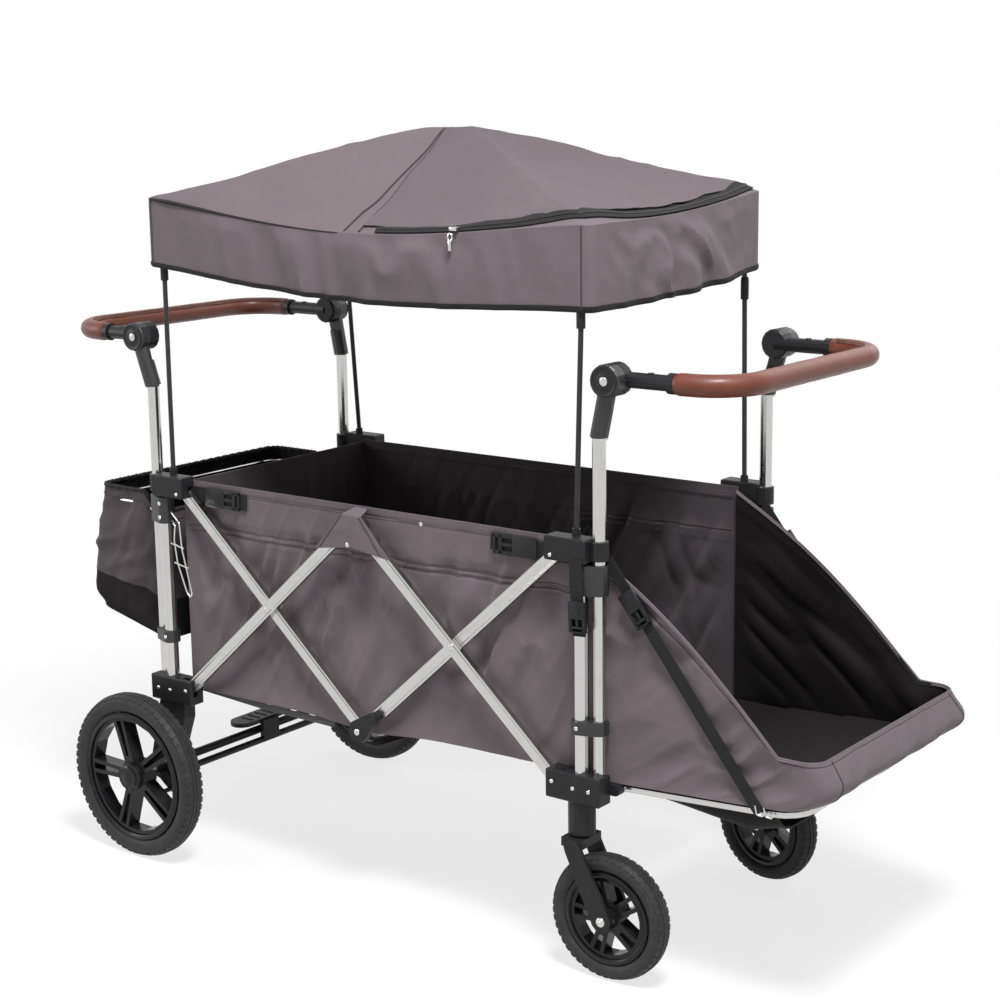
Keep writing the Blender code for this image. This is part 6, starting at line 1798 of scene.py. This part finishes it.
def make_fork_bolts(side_name):
    """Bolt heads on both faces of a caster fork."""
    bolts = []
    for way in (-1, 1):
        bolts.append(dome(0.0, way * FORK_OUTER, 0.0, 0.0078, way, 0.0040))
        bolts.append(dome(0.0, way * (FORK_OUTER + 0.0036), 0.0, 0.0042, way, 0.0016))
    bolts = joined(bolts)
    bolts.data.transform(wheel_stand("front", side_name))
    finished(bolts, "fork_bolts_" + side_name, "caster_" + side_name, "wire metal", 50.0)


# Stage

def make_stage():
    """Pale floor, soft lamps, white surround and the camera at the photograph's angle."""
    bpy.ops.mesh.primitive_grid_add(x_subdivisions=8, y_subdivisions=8, size=60.0)
    floor = select_only(bpy.context.object)
    floor.name = "floor"
    recipe = Recipe("pale_floor")
    place = recipe.place("Object")
    grain = recipe.noise(place, 60.0, 4.0, 0.6)
    recipe.surface(Base_Color=recipe.blend(grain, (0.84, 0.84, 0.84), (0.88, 0.88, 0.88)), Roughness=0.9)
    distance = recipe.node("ShaderNodeVectorMath", {"operation": "LENGTH"}, {0: place}, output=1)
    paper = distance.between(0.8, 2.2) * 0.25 + 0.75
    glow = recipe.node("ShaderNodeEmission", None, {"Color": WHITE, "Strength": 1.0})
    mix = recipe.node("ShaderNodeMixShader", None, {0: seen_directly(recipe) * paper})
    tree = recipe.tree
    tree.links.new(recipe.shader.outputs[0], mix.socket.node.inputs[1])
    tree.links.new(glow.socket, mix.socket.node.inputs[2])
    tree.links.new(mix.socket, tree.nodes["Material Output"].inputs["Surface"])
    floor.data.materials.append(recipe.material)

    add_lamp("key", (1.5, -1.3, 3.8), 0.9, 205.0)
    add_lamp("fill", (-3.0, -1.8, 1.8), 1.4, 32.0)
    add_lamp("back", (0.6, 3.2, 2.6), 2.4, 25.0)

    world = bpy.data.worlds.new("studio")
    bpy.context.scene.world = world
    surround = Recipe("studio", world)
    soft = surround.node("ShaderNodeBackground", None, {"Color": WHITE, "Strength": 0.20})
    white = surround.node("ShaderNodeBackground", None, {"Color": WHITE, "Strength": 1.0})
    mix = surround.node("ShaderNodeMixShader", None, {0: seen_directly(surround), 1: soft, 2: white})
    world.node_tree.links.new(mix.socket, world.node_tree.nodes["World Output"].inputs["Surface"])

    scene = bpy.context.scene
    scene.view_settings.view_transform = "Standard"
    scene.camera = make_camera()


def seen_directly(recipe):
    """1 for rays from the camera, a mirror or glass, which show the white surround."""
    path = recipe.node("ShaderNodeLightPath")
    outputs = path.socket.node.outputs
    seen = Wire(recipe, outputs["Is Camera Ray"])
    for name in ("Is Glossy Ray", "Is Transmission Ray"):
        seen = seen.larger(Wire(recipe, outputs[name]))
    return seen


def make_camera():
    camera = bpy.data.objects.new("camera", bpy.data.cameras.new("camera"))
    bpy.context.scene.collection.objects.link(camera)
    camera.data.lens = CAMERA_LENS
    camera.data.sensor_width = 36.0
    camera.data.clip_end = 100.0
    azimuth = math.radians(CAMERA_AZIMUTH)
    elevation = math.radians(CAMERA_ELEVATION)
    roll = math.radians(CAMERA_ROLL)
    back = Vector((math.sin(azimuth) * math.cos(elevation),
                   -math.cos(azimuth) * math.cos(elevation),
                   math.sin(elevation)))
    right = Vector((math.cos(azimuth), math.sin(azimuth), 0.0))
    up = back.cross(right)
    turned_right = right * math.cos(roll) + up * math.sin(roll)
    turned_up = up * math.cos(roll) - right * math.sin(roll)
    place = Vector(CAMERA_PLACE) + Vector((WAGON_SHIFT, 0.0, 0.0))
    columns = Matrix((turned_right, turned_up, back)).transposed()
    camera.matrix_world = Matrix.Translation(place) @ columns.to_4x4()
    return camera


def add_lamp(name, place, size, power):
    lamp = bpy.data.lights.new(name, "AREA")
    lamp.size = size
    lamp.energy = power
    obj = bpy.data.objects.new(name, lamp)
    bpy.context.scene.collection.objects.link(obj)
    obj.location = place
    obj.rotation_mode = "QUATERNION"
    obj.rotation_quaternion = (Vector((0.0, 0.0, 0.6)) - Vector(place)).to_track_quat("-Z", "Y")


# Operators

class WAGON_OT_finishes(bpy.types.Operator):
    """Makes the finishes and puts them on the frame"""
    bl_idname = "wagon.finishes"
    bl_label = "Finishes"

    def execute(self, context):
        make_finishes()
        finish_frame()
        return {"FINISHED"}


class WAGON_OT_canopy(bpy.types.Operator):
    """Adds the canopy's cloth, cover, zip, hem, black piping that paints the roof's shadow line, ribs and
    pole sleeves
    """
    bl_idname = "wagon.canopy"
    bl_label = "Canopy"

    def execute(self, context):
        make_canopy()
        return {"FINISHED"}


class WAGON_OT_tub(bpy.types.Operator):
    """Adds the tub's walls, flaps, floor mat and straps"""
    bl_idname = "wagon.tub"
    bl_label = "Tub"

    def execute(self, context):
        make_tub()
        make_rear_wall()
        make_floor_mat()
        make_hanging_straps()
        return {"FINISHED"}


class WAGON_OT_footwell(bpy.types.Operator):
    """Adds the footwell's cloth, lining and pad, its straps and the pouch below it"""
    bl_idname = "wagon.footwell"
    bl_label = "Footwell"

    def execute(self, context):
        make_footwell()
        make_footwell_straps()
        make_pouch()
        return {"FINISHED"}


class WAGON_OT_basket(bpy.types.Operator):
    """Adds the storage basket"""
    bl_idname = "wagon.basket"
    bl_label = "Storage basket"

    def execute(self, context):
        make_basket()
        return {"FINISHED"}


class WAGON_OT_grips(bpy.types.Operator):
    """Adds the leather sleeves and laces on both handles"""
    bl_idname = "wagon.grips"
    bl_label = "Grips"

    def execute(self, context):
        make_grips()
        return {"FINISHED"}


class WAGON_OT_wheels(bpy.types.Operator):
    """Adds the tyres, rim lips and caps"""
    bl_idname = "wagon.wheels"
    bl_label = "Wheels"

    def execute(self, context):
        make_wheels()
        return {"FINISHED"}


class WAGON_OT_fittings(bpy.types.Operator):
    """Adds rivets, screws, hub faces, wire handles and bolts"""
    bl_idname = "wagon.fittings"
    bl_label = "Fittings"

    def execute(self, context):
        make_fittings()
        return {"FINISHED"}


class WAGON_OT_stage(bpy.types.Operator):
    """Adds the floor, the lamps, the world and the camera"""
    bl_idname = "wagon.stage"
    bl_label = "Stage"

    def execute(self, context):
        make_stage()
        return {"FINISHED"}


PIECES = (WAGON_OT_finishes, WAGON_OT_canopy, WAGON_OT_tub, WAGON_OT_footwell, WAGON_OT_basket,
          WAGON_OT_grips, WAGON_OT_wheels, WAGON_OT_fittings, WAGON_OT_stage)


class WAGON_PT_panel(bpy.types.Panel):
    """Lists the wagon's sizes, colours and pieces."""
    bl_label = "Stroller wagon"
    bl_idname = "WAGON_PT_panel"
    bl_space_type = "VIEW_3D"
    bl_region_type = "UI"
    bl_category = "Wagon"

    def draw(self, context):
        for group in (context.scene.wagon_sizes, context.scene.wagon_colours):
            for name in group.bl_rna.properties.keys():
                if name not in {"rna_type", "name"}:
                    self.layout.prop(group, name)
        for piece in PIECES:
            self.layout.operator(piece.bl_idname)


CLASSES = (WagonSizes, WagonColours, *PIECES, WAGON_PT_panel)


def register():
    for item in CLASSES:
        bpy.utils.register_class(item)
    bpy.types.Scene.wagon_sizes = bpy.props.PointerProperty(type=WagonSizes)
    bpy.types.Scene.wagon_colours = bpy.props.PointerProperty(type=WagonColours)


def unregister():
    del bpy.types.Scene.wagon_colours
    del bpy.types.Scene.wagon_sizes
    for item in reversed(CLASSES):
        bpy.utils.unregister_class(item)


def main():
    register()
    select_none()
    for piece in PIECES:
        group, name = piece.bl_idname.split(".")
        getattr(getattr(bpy.ops, group), name)()


if __name__ == "__main__":
    main()
